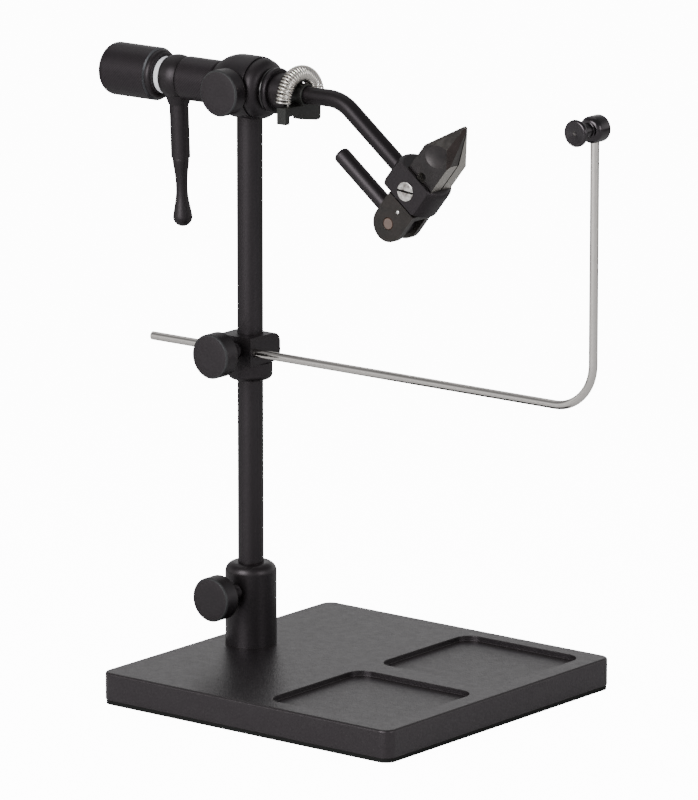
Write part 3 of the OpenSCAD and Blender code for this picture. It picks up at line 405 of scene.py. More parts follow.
def knurled_finish(name, colour):
    """Black metal whose knurl crests are painted lighter: partly slight wear, partly a painted highlight on
    the crests.
    """
    tree, shader = new_finish(name, specular=0.3, tint=KNURL_SHEEN)
    handled(tree, shader, colour, GREY_DUST, dust_amount=0.06, rough=0.4, spread=0.06)
    grained(tree, shader, grain=3600, strength=0.3, relief=0.03 * MM)
    crest = tree.nodes.new("ShaderNodeAttribute")
    crest.attribute_name = "crest"
    worn_and_highlit = maths(tree, "POWER", crest.outputs["Fac"], 3)
    feed(tree, mixed(tree, worn_and_highlit, colour_so_far(shader), KNURL_CREST_TONE), shader["Base Color"])


def base_finishes(c):
    """The powder coat of the plate and the rubber of its pad."""
    grained_finish(
        "base_powder", c.powder, rough=0.38, dust=(0.12, 0.115, 0.115), dust_amount=0.35, spread=0.06,
        grain=2100, strength=0.9, relief=0.1 * MM, patches=(1500, (0.0085, 0.0075, 0.008)),
        specular=0.56, tint=COOL_SHEEN,
    )
    grained_finish(
        "pad_rubber", (0.005, 0.005, 0.005), rough=0.75, dust=(0.04, 0.04, 0.04), dust_amount=0.15,
        grain=1600, strength=0.4, relief=0.05 * MM, specular=0.2,
    )


def black_finishes(c):
    """The black metal of the post, the screws and the head, from matte to glossy."""
    for name, rough, grain, strength, specular in (
        ("black_satin", 0.44, 3200, 0.25, 0.42),
        ("arm_satin", 0.42, 3200, 0.25, 0.27),
        ("socket_satin", 0.37, 3000, 0.2, 0.42),
    ):
        grained_finish(
            name, c.black, rough, dust_amount=0.06, grain=grain, strength=strength, relief=0.03 * MM,
            specular=specular, tint=COOL_SHEEN,
        )
    grained_finish(
        "black_matte", c.black, rough=0.6, dust_amount=0.09, grain=2600, strength=0.5, relief=0.05 * MM,
        specular=0.46, tint=COOL_SHEEN,
    )
    grained_finish("ring_gloss", c.black, rough=0.2, dust_amount=0.03, grain=2200, strength=0.15)
    knurled_finish("knurl_black", c.knurl)


def jaw_finishes(c):
    """The jaws' polish, a lighter and a darker brown copy of their facets' finish as painted light and
    shade, their ground faces and hollow, and the cheeks of the cam's yoke.
    """
    grained_finish(
        "jaw_polish", c.jaw, rough=0.24, dust=(0.07, 0.066, 0.064), dust_amount=0.3, spread=0.14,
        strength=0.12, patches=(190, (0.011, 0.0095, 0.0098)), tint=ROSY_SHEEN,
    )
    grained_finish(
        "jaw_hollow", (0.0038, 0.0031, 0.0032), rough=0.36, dust=(0.05, 0.046, 0.044), dust_amount=0.2,
        spread=0.06, strength=0.1, patches=(230, (0.012, 0.0095, 0.0098)), tint=ROSY_SHEEN,
    )
    # A lighter copy of the facets' finish, painted light for facets that face back
    grained_finish(
        "jaw_facet_lit", (0.011, 0.0092, 0.0084), rough=0.3, dust=(0.09, 0.085, 0.08), dust_amount=0.4,
        spread=0.12, strength=0.15, patches=(260, (0.030, 0.0275, 0.0255)), specular=0.66, tint=WARM_SHEEN,
    )
    # A darker brown copy of the facets' finish, painted shade for facets that face forward
    grained_finish(
        "jaw_facet_shaded", (0.0085, 0.0062, 0.0058), rough=0.3, dust=(0.06, 0.05, 0.046), dust_amount=0.3,
        spread=0.1, strength=0.15, patches=(240, (0.015, 0.0105, 0.0098)), specular=0.42, tint=BROWN_SHEEN,
    )
    grained_finish(
        "cheek_satin", (0.0092, 0.0080, 0.0076), rough=0.34, dust=(0.09, 0.075, 0.07), dust_amount=0.4,
        spread=0.12, relief=0.03 * MM, patches=(230, (0.016, 0.0125, 0.0115)),
        specular=0.42, tint=WARM_SHEEN,
    )
    lined_finish(
        "jaw_ground", (0.40, 0.38, 0.35), rough=0.38, stretch=(9000, 9000, 900),
        dust=(0.2, 0.19, 0.18), dust_amount=0.3, spread=0.08, metallic=0.8,
    )


def edge_finishes():
    """Edges where the black is rubbed and lit by a painted highlight, painted highlights on rims and steps,
    the painted shade of a slot, and the rust round a pin.
    """
    # Lighter metal on edge bevels: partly rubbed black, partly a painted highlight
    grained_finish(
        "wear_and_highlight", (0.12, 0.112, 0.105), rough=0.3, dust=WORN_DUST, dust_amount=0.3, spread=0.1,
        grain=2600, metallic=0.6,
    )
    # A thin painted highlight along the knobs' front rims and the head's bevels
    grained_finish("rim_highlight", (0.034, 0.034, 0.036), rough=0.34, grain=2600, metallic=0.4)
    # A bluish painted highlight on the rear knob's step
    grained_finish("step_highlight", (0.085, 0.087, 0.094), rough=0.3, grain=2600, metallic=0.6)
    grained_finish(
        "rust_ring", (0.030, 0.013, 0.008), rough=0.7, dust=(0.07, 0.03, 0.015), dust_amount=0.8,
        grain=1800, strength=0.4, relief=0.05 * MM, specular=0.2,
    )
    grained_finish(
        "slot_shade", (0.004, 0.0035, 0.0035), rough=0.7, dust=(0.02, 0.018, 0.018), grain=2600,
        specular=0.15,
    )


def bright_finishes(c):
    """Bare steel that was drawn, coiled, slotted or polished, the cam pin and the bronze bushings."""
    lined_finish("steel_along_x", c.steel, rough=0.15, stretch=(60, 6000, 6000))
    lined_finish("steel_along_y", c.steel, rough=0.18, stretch=(6000, 60, 6000))
    grained_finish(
        "spring_steel", (0.74, 0.71, 0.67), rough=0.17, dust=WORN_DUST, grain=3000, strength=0.1,
        relief=0.01 * MM, metallic=1,
    )
    grained_finish(
        "screw_steel", (0.86, 0.83, 0.80), rough=0.2, dust=(0.16, 0.14, 0.13), dust_amount=0.5, spread=0.16,
        grain=900, strength=0.6, relief=0.12 * MM, patches=(420, (0.30, 0.27, 0.25)), metallic=1,
    )
    grained_finish("dowel_steel", (0.93, 0.92, 0.90), rough=0.14, dust=(0.5, 0.48, 0.46), metallic=1)
    grained_finish(
        "cam_pin_copper", c.copper, rough=0.5, dust=(0.10, 0.075, 0.062), dust_amount=0.6, spread=0.1,
        grain=2200, strength=0.4, relief=0.04 * MM, metallic=0.6,
    )
    grained_finish(
        "bushing_bronze", (0.42, 0.27, 0.14), rough=0.38, dust=(0.2, 0.14, 0.1), dust_amount=0.2,
        spread=0.08, grain=2200, relief=0.03 * MM, metallic=1,
    )


def plastic_finishes(c):
    """The white washer, the moulded bracket and the glossy spool."""
    grained_finish("washer_nylon", c.nylon, rough=0.46, dust=(0.6, 0.6, 0.6), grain=1800, relief=0.03 * MM)
    grained_finish(
        "bracket_moulded", c.bracket, rough=0.5, dust_amount=0.07, spread=0.06,
        grain=2200, strength=0.35, relief=0.05 * MM,
    )
    grained_finish(
        "spool_gloss", c.spool, rough=0.2, dust_amount=0.06, grain=1500, strength=0.06,
        specular=0.6, tint=COOL_SHEEN,
    )


# Modelling

def deselect():
    if bpy.context.object and bpy.context.object.mode != "OBJECT":
        bpy.ops.object.mode_set(mode="OBJECT")
    bpy.ops.object.select_all(action="DESELECT")


def only(piece):
    deselect()
    piece.select_set(True)
    bpy.context.view_layer.objects.active = piece


def edit(piece):
    only(piece)
    bpy.ops.object.mode_set(mode="EDIT")
    return bmesh.from_edit_mesh(piece.data)


def leave_edit():
    bpy.ops.object.mode_set(mode="OBJECT")


def apply_modifier(piece, modifier):
    only(piece)
    bpy.ops.object.modifier_apply(modifier=modifier.name)


def dress(piece, *finishes):
    piece.data.materials.clear()
    for finish in finishes:
        piece.data.materials.append(bpy.data.materials[finish])


def painted(piece, finishes, pick):
    """Dress the piece, and give each face the finish that pick(face) names."""
    dress(piece, *finishes)
    for face in piece.data.polygons:
        face.material_index = finishes.index(pick(face))


def smooth(piece, crease):
    """Shade the piece smooth but for edges sharper than the crease, in degrees."""
    only(piece)
    bpy.ops.object.shade_smooth_by_angle(angle=math.radians(crease))


def centre_of(node):
    low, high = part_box(node)
    return (low + high) / 2


def span_of(node):
    low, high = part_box(node)
    return high - low


def face_towards(piece, axis, place):
    """Turn a piece that was built along +Z to stand along the axis, with its foot at the place."""
    piece.rotation_mode = "QUATERNION"
    piece.rotation_quaternion = axis.to_track_quat("Z", "Y")
    piece.location = place


def settle(piece, body, slot, *nodes):
    """Put the piece's place into its mesh and let it ride in place of the given solids."""
    only(piece)
    bpy.ops.object.transform_apply(location=True, rotation=True, scale=True)
    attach(piece, body)
    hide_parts(*nodes)


def settle_along(piece, axis, body, slot, node):
    """Lay a piece that was built along +Z where its solid lies along the axis, and settle it."""
    length = abs(span_of(node).dot(axis))
    face_towards(piece, axis, centre_of(node) - axis * length / 2)
    settle(piece, body, slot, node)


# Turned pieces

LATHE_SIDES = 48
SPOOL_SIDES = 72
KNURL_CREASE = 24
KNOB_KNURL_SHARE = 0.4
FLAT_END_SHARE = 0.98

# Points of a knob's rim, in bevels inwards from its edge and from its face
BACK_RIM = ((1.4, 0), (0.4, 0.6))
FRONT_RIM = ((0.35, 0.45), (0.75, 0.12), (1.3, 0))

# Points of one thread, as shares of its depth and of its pitch
THREAD_SHARES = ((0, 0.12), (1, 0.5), (1, 0.6), (0, 0.98))


def arc(centre_r, centre_z, radius, start, end, steps):
    """Points of an arc in the section's plane, with its angles in degrees from the radial direction."""
    angles = [math.radians(start + (end - start) * i / steps) for i in range(steps + 1)]
    return [(centre_r + radius * math.cos(a), centre_z + radius * math.sin(a)) for a in angles]


def turn_on_lathe(name, section, sides):
    """A closed turned piece along +Z: a disc that is extruded and sized ring by ring."""
    deselect()
    r, z = section[0]
    bpy.ops.mesh.primitive_circle_add(vertices=sides, radius=r, fill_type="NGON", location=(0, 0, 0))
    piece = bpy.context.object
    piece.name = piece.data.name = name
    bpy.ops.object.mode_set(mode="EDIT")
    bpy.ops.mesh.select_all(action="SELECT")
    bpy.ops.transform.translate(value=(0, 0, z))
    for next_r, next_z in section[1:]:
        bpy.ops.mesh.extrude_region_move(TRANSFORM_OT_translate={"value": (0, 0, next_z - z)})
        if abs(next_r - r) > HAIR:
            k = next_r / r
            bpy.ops.transform.resize(value=(k, k, 1), center_override=(0, 0, next_z))
        r, z = next_r, next_z
    bpy.ops.mesh.select_all(action="SELECT")
    bpy.ops.mesh.normals_make_consistent(inside=False)
    leave_edit()
    return piece


def knurl_band(radius, low, high):
    """The number of points round a knurled band, and its rings as a stretch of the section."""
    pitch = sizes().knurl_pitch
    around = 2 * round(2 * math.pi * radius / pitch)
    steps = max(3, round((high - low) / (pitch / 2)))
    return around, [(radius, low + (high - low) * i / steps) for i in range(steps + 1)]


def cut_knurl(piece, band, depth):
    """Press every other point of the band inwards, so that diamonds stand between crossing grooves."""
    radius, low = band[0]
    high = band[-1][1]
    ring_step = (high - low) / (len(band) - 1)
    bm = edit(piece)
    bpy.ops.mesh.select_all(action="DESELECT")
    bpy.ops.mesh.select_mode(type="VERT")
    # This layer marks the crests, which the knurl's finish paints lighter as slight wear and a painted
    # highlight
    crest = bm.verts.layers.float.new("crest")

    def in_band(vert):
        return low - HAIR < vert.co.z < high + HAIR

    knurled = [v for v in bm.verts if in_band(v) and abs(v.co.xy.length - radius) < SNUG]
    count = round(len(knurled) / len(band))
    for v in knurled:
        ring = round((v.co.z - low) / ring_step)
        step = round(math.atan2(v.co.y, v.co.x) / (2 * math.pi) * count)
        v.select = (ring + step) % 2 == 0
        v[crest] = 0 if v.select else 1
    bm.select_flush(True)
    for e in bm.edges:
        e.select = False
    bmesh.update_edit_mesh(piece.data)
    k = (radius - depth) / radius
    bpy.ops.transform.resize(value=(k, k, 1), center_override=(0, 0, 0))
    bpy.ops.mesh.select_all(action="DESELECT")
    bpy.ops.mesh.select_mode(type="FACE")
    bm = bmesh.from_edit_mesh(piece.data)
    for f in bm.faces:
        upright = abs(f.normal.z) < 0.9
        f.select = upright and len(f.verts) == 4 and all(in_band(v) for v in f.verts)
    bmesh.update_edit_mesh(piece.data)
    bpy.ops.mesh.quads_convert_to_tris(quad_method="SHORTEST_DIAGONAL")
    bpy.ops.mesh.select_mode(type="VERT")
    leave_edit()


def knurled_knob(name, node, body):
    """A round thumb knob: a knurled rim between two bevels, the front bevel painted with a thin highlight,
    and flat matte faces.
    """
    span = span_of(node)
    radius, thick = span.x / 2, span.y
    core, core_ring, bevel = radius * 0.5, radius * 0.52, 0.55 * MM
    high = thick - bevel
    around, band = knurl_band(radius, bevel, high)
    section = [(core, 0), (core_ring, 0)]
    section += [(radius - bevel * inwards, bevel * up) for inwards, up in BACK_RIM]
    section += band
    section += [(radius - bevel * inwards, thick - bevel * down) for inwards, down in FRONT_RIM]
    section += [(core, thick)]
    piece = turn_on_lathe(name, section, around)
    cut_knurl(piece, band, sizes().knurl_depth * KNOB_KNURL_SHARE)

    def pick(face):
        if abs(face.normal.z) > FLAT_END_SHARE:
            return "black_matte"
        # The front bevel's faces carry a painted highlight
        return "rim_highlight" if face.center.z > high + HAIR else "black_satin"

    painted(piece, ("black_satin", "black_matte", "rim_highlight"), pick)
    smooth(piece, KNURL_CREASE)
    settle_along(piece, TO_NEAR_SIDE, body, "knurled_black", node)


def threaded_stud(name, node, body):
    """A stud with a rolled thread: rings of crest and root along its length."""
    span = span_of(node)
    radius, length = span.x / 2, span.y
    pitch, depth = sizes().thread_pitch, sizes().thread_depth
    chamfer = depth
    section = [(radius - chamfer, 0), (radius, chamfer)]
    z = chamfer
    while z + pitch < length - chamfer:
        section += [(radius - depth * inwards, z + pitch * along) for inwards, along in THREAD_SHARES]
        z += pitch
    section += [(radius, length - chamfer * 0.5), (radius - chamfer, length)]
    piece = turn_on_lathe(name, section, LATHE_SIDES)
    dress(piece, "black_satin")
    smooth(piece, crease=25)
    settle_along(piece, TO_NEAR_SIDE, body, "black_oxide", node)


# Machined pieces

FLAT_WITHIN = math.radians(0.6)

# The round of the base plate's rim, how far in it starts at most, and its least turn in radians
RIM_WIDTH = 0.9 * MM
RIM_INSET = 2.3 * MM
RIM_TURN = 0.9


def copy_of(node, name):
    """A copy of the solid, merged and free of the lines that its flat faces are cut into."""
    source = NODES[node]
    piece = source.copy()
    piece.data = source.data.copy()
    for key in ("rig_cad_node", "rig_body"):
        if key in piece:
            del piece[key]
    piece.parent = None
    piece.name = piece.data.name = name
    bpy.context.scene.collection.objects.link(piece)
    piece.hide_render = piece.hide_viewport = False
    edit(piece)
    bpy.ops.mesh.select_all(action="SELECT")
    bpy.ops.mesh.remove_doubles(threshold=SNUG)
    bpy.ops.mesh.customdata_custom_splitnormals_clear()
    bpy.ops.mesh.dissolve_limited(angle_limit=FLAT_WITHIN)
    bpy.ops.mesh.normals_make_consistent(inside=False)
    leave_edit()
    return piece


def edge_broken(
    node, name, body, slot="black_oxide", finishes=("black_satin",), widths=1,
    angle=38, segments=3, pick=None, carve=None, crease=50,
):
    """A copy of the solid whose edges are broken by a small round bevel, as a tumbled part's are.

    carve(piece) shapes the copy first. The bevel is so many edge breaks wide, lies on edges sharper
    than the angle and takes the second finish, if any. pick(face) names any other face's finish.
    """
    piece = copy_of(node, name)
    if carve:
        carve(piece)
    painted(piece, finishes, pick or (lambda face: finishes[0]))
    bevel = piece.modifiers.new("Edge break", "BEVEL")
    bevel.width = sizes().edge_break * widths
    bevel.segments = segments
    bevel.limit_method = "ANGLE"
    bevel.angle_limit = math.radians(angle)
    bevel.use_clamp_overlap = True
    bevel.miter_outer = "MITER_ARC"
    if len(finishes) > 1:
        bevel.material = 1
    apply_modifier(piece, bevel)
    smooth(piece, crease)
    even = piece.modifiers.new("Even shading", "WEIGHTED_NORMAL")
    even.keep_sharp = True
    even.weight = 80
    apply_modifier(piece, even)
    settle(piece, body, slot, node)
    return piece


def round_rim(plate):
    """Round the outer rim of the base plate's top, and leave the trays' edges as they are."""
    low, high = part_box("base_plate")
    mesh = edit(plate)
    bpy.ops.mesh.select_all(action="DESELECT")
    for edge in mesh.edges:
        x, y, _ = (edge.verts[0].co + edge.verts[1].co) / 2
        on_rim = min(x - low.x, high.x - x, y - low.y, high.y - y) < RIM_INSET
        on_top = all(abs(v.co.z - high.z) < SNUG for v in edge.verts)
        edge.select_set(on_rim and on_top and edge.calc_face_angle(0) > RIM_TURN)
    bmesh.update_edit_mesh(plate.data)
    bpy.ops.mesh.bevel(offset=RIM_WIDTH, segments=5, profile=0.5, clamp_overlap=False)
    leave_edit()


# Jaws

JAW_FINISHES = (
    "jaw_polish", "wear_and_highlight", "jaw_facet_lit", "jaw_ground", "jaw_hollow", "slot_shade", "jaw_facet_shaded",
)
HOLLOW_ALONG = 1.5 * MM
HOLLOW_UP = 18.8 * MM
TIP_FACET_UP = 19 * MM
HOLLOW_SKIN = 0.03 * MM
SLIT_EDGE = 0.56 * MM

# The least share of a cheek's normal that points sideways, and of a facet's, sideways or forward
CHEEK_SHARE = 0.985
FACET_SHARE = 0.3


def hollow_ball(half):
    """Centre and radius of the ball that grinds the shallow hollow in a jaw's cheek."""
    reach, depth = sizes().hollow_reach, sizes().hollow_depth
    radius = (reach ** 2 + depth ** 2) / (2 * depth)
    low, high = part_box(f"jaw_{half}")
    centre = JAW_FOOT + JAW_ALONG * HOLLOW_ALONG + JAW_UP * HOLLOW_UP
    centre.y = low.y - radius + depth if half == "near" else high.y + radius - depth
    return centre, radius


def grind_hollow(half):
    centre, radius = hollow_ball(half)

    def carve(piece):
        deselect()
        bpy.ops.mesh.primitive_uv_sphere_add(segments=160, ring_count=80, radius=radius, location=centre)
        wheel = bpy.context.object
        only(piece)
        cut = piece.modifiers.new("Hollow", "BOOLEAN")
        cut.operation = "DIFFERENCE"
        cut.solver = "EXACT"
        cut.object = wheel
        apply_modifier(piece, cut)
        bpy.data.objects.remove(wheel)
    return carve


def jaw_face_finish(half):
    """Tell cheek, facets, ground edges and hollow apart by their place and direction. Facets that face
    forward get the darker brown copy as painted shade; the others, and the near jaw's front facet by its
    tip, get the lighter copy as painted light.
    """
    centre, radius = hollow_ball(half)

    def pick(face):
        sideways = abs(face.normal.y)
        forward = face.normal.dot(JAW_ALONG)
        risen = (face.center - JAW_FOOT).dot(JAW_UP)
        if abs((face.center - centre).length - radius) < HOLLOW_SKIN:
            return "jaw_hollow"
        if sideways > CHEEK_SHARE:
            return "jaw_polish"
        if sideways > FACET_SHARE:
            return "jaw_facet_shaded" if forward > 0 else "jaw_facet_lit"
        if half == "near" and forward > FACET_SHARE and risen > TIP_FACET_UP:
            return "jaw_facet_lit"
        return "jaw_ground"
    return pick


# Operators

SOLIDS_OF_FINISH = {
    "base_powder": ("base_plate",),
    "pad_rubber": ("base_pad",),
    "black_satin": (
        "post", "stop_collar", "stop_collar_screw", "cradle_clamp", "head_housing", "head_front_cap",
        "head_set_screw", "front_hub", "sleeve_set_screw", "crank_hub", "crank_stem", "crank_handle",
        "jaw_collar", "cam_head", "cam_lever", "base_screw_stud", "cradle_screw_stud", "tension_stud",
    ),
    "knurl_black": ("base_screw_knob", "cradle_screw_knob", "tension_knob", "knurled_sleeve", "rear_knob"),
    "socket_satin": ("post_socket",),
    "arm_satin": ("arm",),
    # The jaws' pin is painted near black, as painted shade like that of its hole
    "slot_shade": ("jaw_pin",),
    "ring_gloss": ("hub_ring",),
    "jaw_polish": ("jaw_near", "jaw_far"),
    "cheek_satin": ("cam_yoke",),
    "steel_along_x": ("cradle_rod", "rotary_shaft"),
    "steel_along_y": ("socket_bolt",),
    "dowel_steel": ("yoke_dowels",),
    "screw_steel": ("jaw_screw", "jaw_plunger"),
    "spring_steel": ("clip_spring",),
    "washer_nylon": ("nylon_washer", "tension_pad"),
    "bracket_moulded": ("clip_bracket",),
    "spool_gloss": ("cradle_spool",),
    "cam_pin_copper": ("cam_pin",),
    "bushing_bronze": ("front_bushing", "rear_bushing"),
}


class VISE_OT_finishes(bpy.types.Operator):
    """Make the vise's finishes and give every solid its own"""

    bl_idname = "vise.finishes"
    bl_label = "Finishes"

    def execute(self, context):
        chosen = colours()
        base_finishes(chosen)
        black_finishes(chosen)
        jaw_finishes(chosen)
        edge_finishes()
        bright_finishes(chosen)
        plastic_finishes(chosen)
        for finish, nodes in SOLIDS_OF_FINISH.items():
            for node in nodes:
                dress(NODES[node], finish)
        return {"FINISHED"}


class VISE_OT_base(bpy.types.Operator):
    """Round the base plate's rim and break the edges of its trays and of the post's socket"""

    bl_idname = "vise.base"
    bl_label = "Base"

    def execute(self, context):
        edge_broken(
            "base_plate", "base_plate_coated", "base", "powder_coat", ("base_powder",), widths=1.25,
            angle=60, carve=round_rim,
        )
        edge_broken("post_socket", "post_socket_turned", "base", finishes=("socket_satin",), widths=1.5)
        return {"FINISHED"}


class VISE_OT_knobs(bpy.types.Operator):
    """Model the three knurled thumb knobs and their threaded studs"""

    bl_idname = "vise.knobs"
    bl_label = "Thumb Screws"

    def execute(self, context):
        bodies = {"base_screw": "base_screw", "cradle_screw": "cradle_screw", "tension": "tension_screw"}
        for screw, body in bodies.items():
            knurled_knob(f"{screw}_knurled_knob", f"{screw}_knob", body)
            threaded_stud(f"{screw}_threaded_stud", f"{screw}_stud", body)
        return {"FINISHED"}


class VISE_OT_rear_knob(bpy.types.Operator):
    """Model the long knurled knob at the rear"""

    bl_idname = "vise.rear_knob"
    bl_label = "Rear Knob"

    def execute(self, context):
        span = span_of("rear_knob")
        radius, length = span.z / 2, span.x
        back_round, plain_end, step_width = 3.4 * MM, 2.6 * MM, 0.35 * MM
        shoulder, round_end = radius - 0.75 * MM, 1.5 * MM
        high = length - plain_end
        around, band = knurl_band(radius, back_round, high)
        section = [(radius - back_round - 0.6 * MM, 0)]
        section += arc(radius - back_round, back_round, back_round, start=-90, end=-8, steps=7)
        section += band
        section += [(shoulder, high + step_width), (shoulder, length - round_end - 0.1 * MM)]
        section += arc(shoulder - round_end, length - round_end, round_end, start=12, end=90, steps=5)
        section += [(shoulder * 0.62, length)]
        piece = turn_on_lathe("rear_knurled_knob", section, around)
        cut_knurl(piece, band, sizes().knurl_depth)

        def pick(face):
            if face.center.z < high + HAIR:
                return "knurl_black"
            # The narrow step after the knurl carries a painted highlight
            return "step_highlight" if face.center.z < high + step_width else "black_satin"

        painted(piece, ("knurl_black", "black_satin", "step_highlight"), pick)
        smooth(piece, KNURL_CREASE)
        settle_along(piece, TO_JAWS, "rear_knob", "knurled_black", "rear_knob")
        return {"FINISHED"}


class VISE_OT_sleeve(bpy.types.Operator):
    """Model the knurled sleeve behind the head"""

    bl_idname = "vise.sleeve"
    bl_label = "Knurled Sleeve"

    def execute(self, context):
        span = span_of("knurled_sleeve")
        radius, length = span.z / 2, span.x
        edge, bore = 1.4 * MM, radius * 0.55
        around, band = knurl_band(radius, edge, length - edge)
        section = [(bore, 0)]
        section += arc(radius - edge, edge, edge, start=-90, end=-8, steps=5)
        section += band
        section += arc(radius - edge, length - edge, edge, start=8, end=90, steps=5)
        section += [(bore, length)]
        piece = turn_on_lathe("knurled_sleeve_skin", section, around)
        cut_knurl(piece, band, sizes().knurl_depth)
        dress(piece, "knurl_black")
        smooth(piece, KNURL_CREASE)
        settle_along(piece, TO_JAWS, "rotor", "knurled_black", "knurled_sleeve")
        return {"FINISHED"}


class VISE_OT_head(bpy.types.Operator):
    """Break the edges of the head's housing and of its front cap, and paint a thin highlight on the
    housing's bevels
    """

    bl_idname = "vise.head"
    bl_label = "Head"

    def execute(self, context):
        # The housing's bevels carry a thin painted highlight
        satin_and_highlit_rim = ("black_satin", "rim_highlight")
        edge_broken("head_housing", "head_housing_turned", "head", finishes=satin_and_highlit_rim, segments=2)
        edge_broken("head_front_cap", "head_cap_turned", "head")
        return {"FINISHED"}


class VISE_OT_crank(bpy.types.Operator):
    """Turn the crank's handle: a waist, a bulb and a round end"""

    bl_idname = "vise.crank"
    bl_label = "Crank Handle"

    def execute(self, context):
        middle, bottom = centre_of("crank_handle"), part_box("crank_handle")[0].z
        bulb = span_of("crank_handle").x / 2
        length = (ROTARY_AXIS_Z - bulb - bottom) / math.cos(CRANK_LEAN) + bulb - CRANK_STEM_END
        root, root_edge = 3.2 * MM, 0.12 * MM
        # Radius in millimetres at shares of the length
        flow = {0.1: 2.98, 0.2: 2.55, 0.3: 2.27, 0.4: 2.15, 0.5: 2.17, 0.6: 2.42, 0.7: 2.92, 0.78: 3.3}
        section = [(root * 0.92, 0), (root, root_edge)]
        section += [(r * MM, length * share) for share, r in flow.items()]
        section += [(bulb, length - bulb * 1.05)]
        section += arc(0, length - bulb, bulb, start=4, end=84, steps=12)
        piece = turn_on_lathe("crank_handle_turned", section, LATHE_SIDES)
        soft = piece.modifiers.new("Soft flow", "SUBSURF")
        soft.levels = soft.render_levels = 1
        apply_modifier(piece, soft)
        dress(piece, "black_satin")
        smooth(piece, crease=40)
        down = Vector((0, math.sin(CRANK_LEAN), -math.cos(CRANK_LEAN)))
        face_towards(piece, down, Vector((middle.x, 0, ROTARY_AXIS_Z)) + down * CRANK_STEM_END)
        settle(piece, "crank", "black_oxide", "crank_handle")
        return {"FINISHED"}


class VISE_OT_spool(bpy.types.Operator):
    """Turn the cradle's spool: a barrel with a round shoulder, a neck and a dished disc"""

    bl_idname = "vise.spool"
    bl_label = "Spool"

    def execute(self, context):
        span = span_of("cradle_spool")
        radius, length = span.x / 2, span.y
        barrel, shoulder, disc = 7.4 * MM, 2.2 * MM, 2 * MM
        neck, fillet, edge = 2.6 * MM, 0.15 * MM, 0.9 * MM
        section = [(radius * 0.5, 0)]
        section += arc(radius - edge, edge, edge, start=-90, end=0, steps=6)
        section += arc(radius - shoulder, barrel - shoulder, shoulder, start=0, end=86, steps=12)
        section += [(neck, barrel + fillet), (neck, length - disc - fillet)]
        section += [(neck + 0.2 * MM, length - disc)]
        section += arc(radius - edge, length - disc + edge, edge, start=-90, end=0, steps=6)
        section += arc(radius - edge, length - edge, edge, start=0, end=90, steps=8)[1:]
        # Radius and depth of the dish in the disc's face, in millimetres
        dish = ((1.1, 0.14), (0.75, 0.2), (0.5, 0.55), (0.2, 0.7))
        section += [(radius - edge - 0.4 * MM, length - 0.06 * MM)]
        section += [(r * MM, length - deep * MM) for r, deep in dish]
        piece = turn_on_lathe("cradle_spool_turned", section, SPOOL_SIDES)

        def pick(face):
            # A painted highlight: the dot at the dish's centre takes the lighter edge finish
            highlight_dot = face.center.z > length - 0.6 * MM and face.center.xy.length < 0.9 * MM
            return "wear_and_highlight" if highlight_dot else "spool_gloss"

        painted(piece, ("spool_gloss", "wear_and_highlight"), pick)
        smooth(piece, crease=34)
        settle_along(piece, TO_NEAR_SIDE, "cradle", "spool_plastic", "cradle_spool")
        return {"FINISHED"}


class VISE_OT_spring(bpy.types.Operator):
    """Wind the material clip's spring and bend it over the arm"""

    bl_idname = "vise.spring"
    bl_label = "Clip Spring"

    def execute(self, context):
        low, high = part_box("clip_spring")
        wire, turns = sizes().spring_wire, sizes().spring_turns
        outer = (high.x - low.x) / 2
        coil = outer - wire / 2
        arch = (high.y - low.y) / 2 - outer
        centre = Vector(((low.x + high.x) / 2, 0, high.z - arch - outer))
        steps_in_turn = 22
        steps = turns * steps_in_turn
        points = []
        for i in range(steps + 1):
            bend, turn = math.pi * i / steps, 2 * math.pi * turns * i / steps
            out = Vector((0, -math.cos(bend), math.sin(bend)))
            on_coil = Vector((math.sin(turn), 0, 0)) - math.cos(turn) * out
            points.append(centre + arch * out + coil * on_coil)
        leg = Vector((0, 0, low.z + wire * 0.2 - centre.z))
        points = [points[0] + leg] + points + [points[-1] + leg]
        deselect()
        line = bpy.data.curves.new("clip_spring_wire", "CURVE")
        line.dimensions = "3D"
        line.bevel_depth = wire / 2
        line.bevel_resolution = 2
        line.use_fill_caps = True
        spline = line.splines.new("POLY")
        spline.points.add(len(points) - 1)
        for point, at in zip(spline.points, points):
            point.co = (*at, 1)
        piece = bpy.data.objects.new("clip_spring_wire", line)
        context.scene.collection.objects.link(piece)
        only(piece)
        bpy.ops.object.convert(target="MESH")
        piece = bpy.context.object
        dress(piece, "spring_steel")
        smooth(piece, crease=60)
        settle(piece, "rotor", "bright_steel", "clip_spring")
        return {"FINISHED"}


class VISE_OT_blocks(bpy.types.Operator):
    """Break the edges of the cradle's clamp, the clip's bracket and the jaws' collar"""

    bl_idname = "vise.blocks"
    bl_label = "Clamp, Bracket and Collar"

    def execute(self, context):
        moulded = ("bracket_moulded",)
        edge_broken("cradle_clamp", "cradle_clamp_block", "cradle_block", widths=1.5)
        edge_broken("clip_bracket", "clip_bracket_moulding", "rotor", "bracket_plastic", moulded, widths=1.5)
        edge_broken("jaw_collar", "jaw_collar_block", "rotor", widths=1.25)
        return {"FINISHED"}


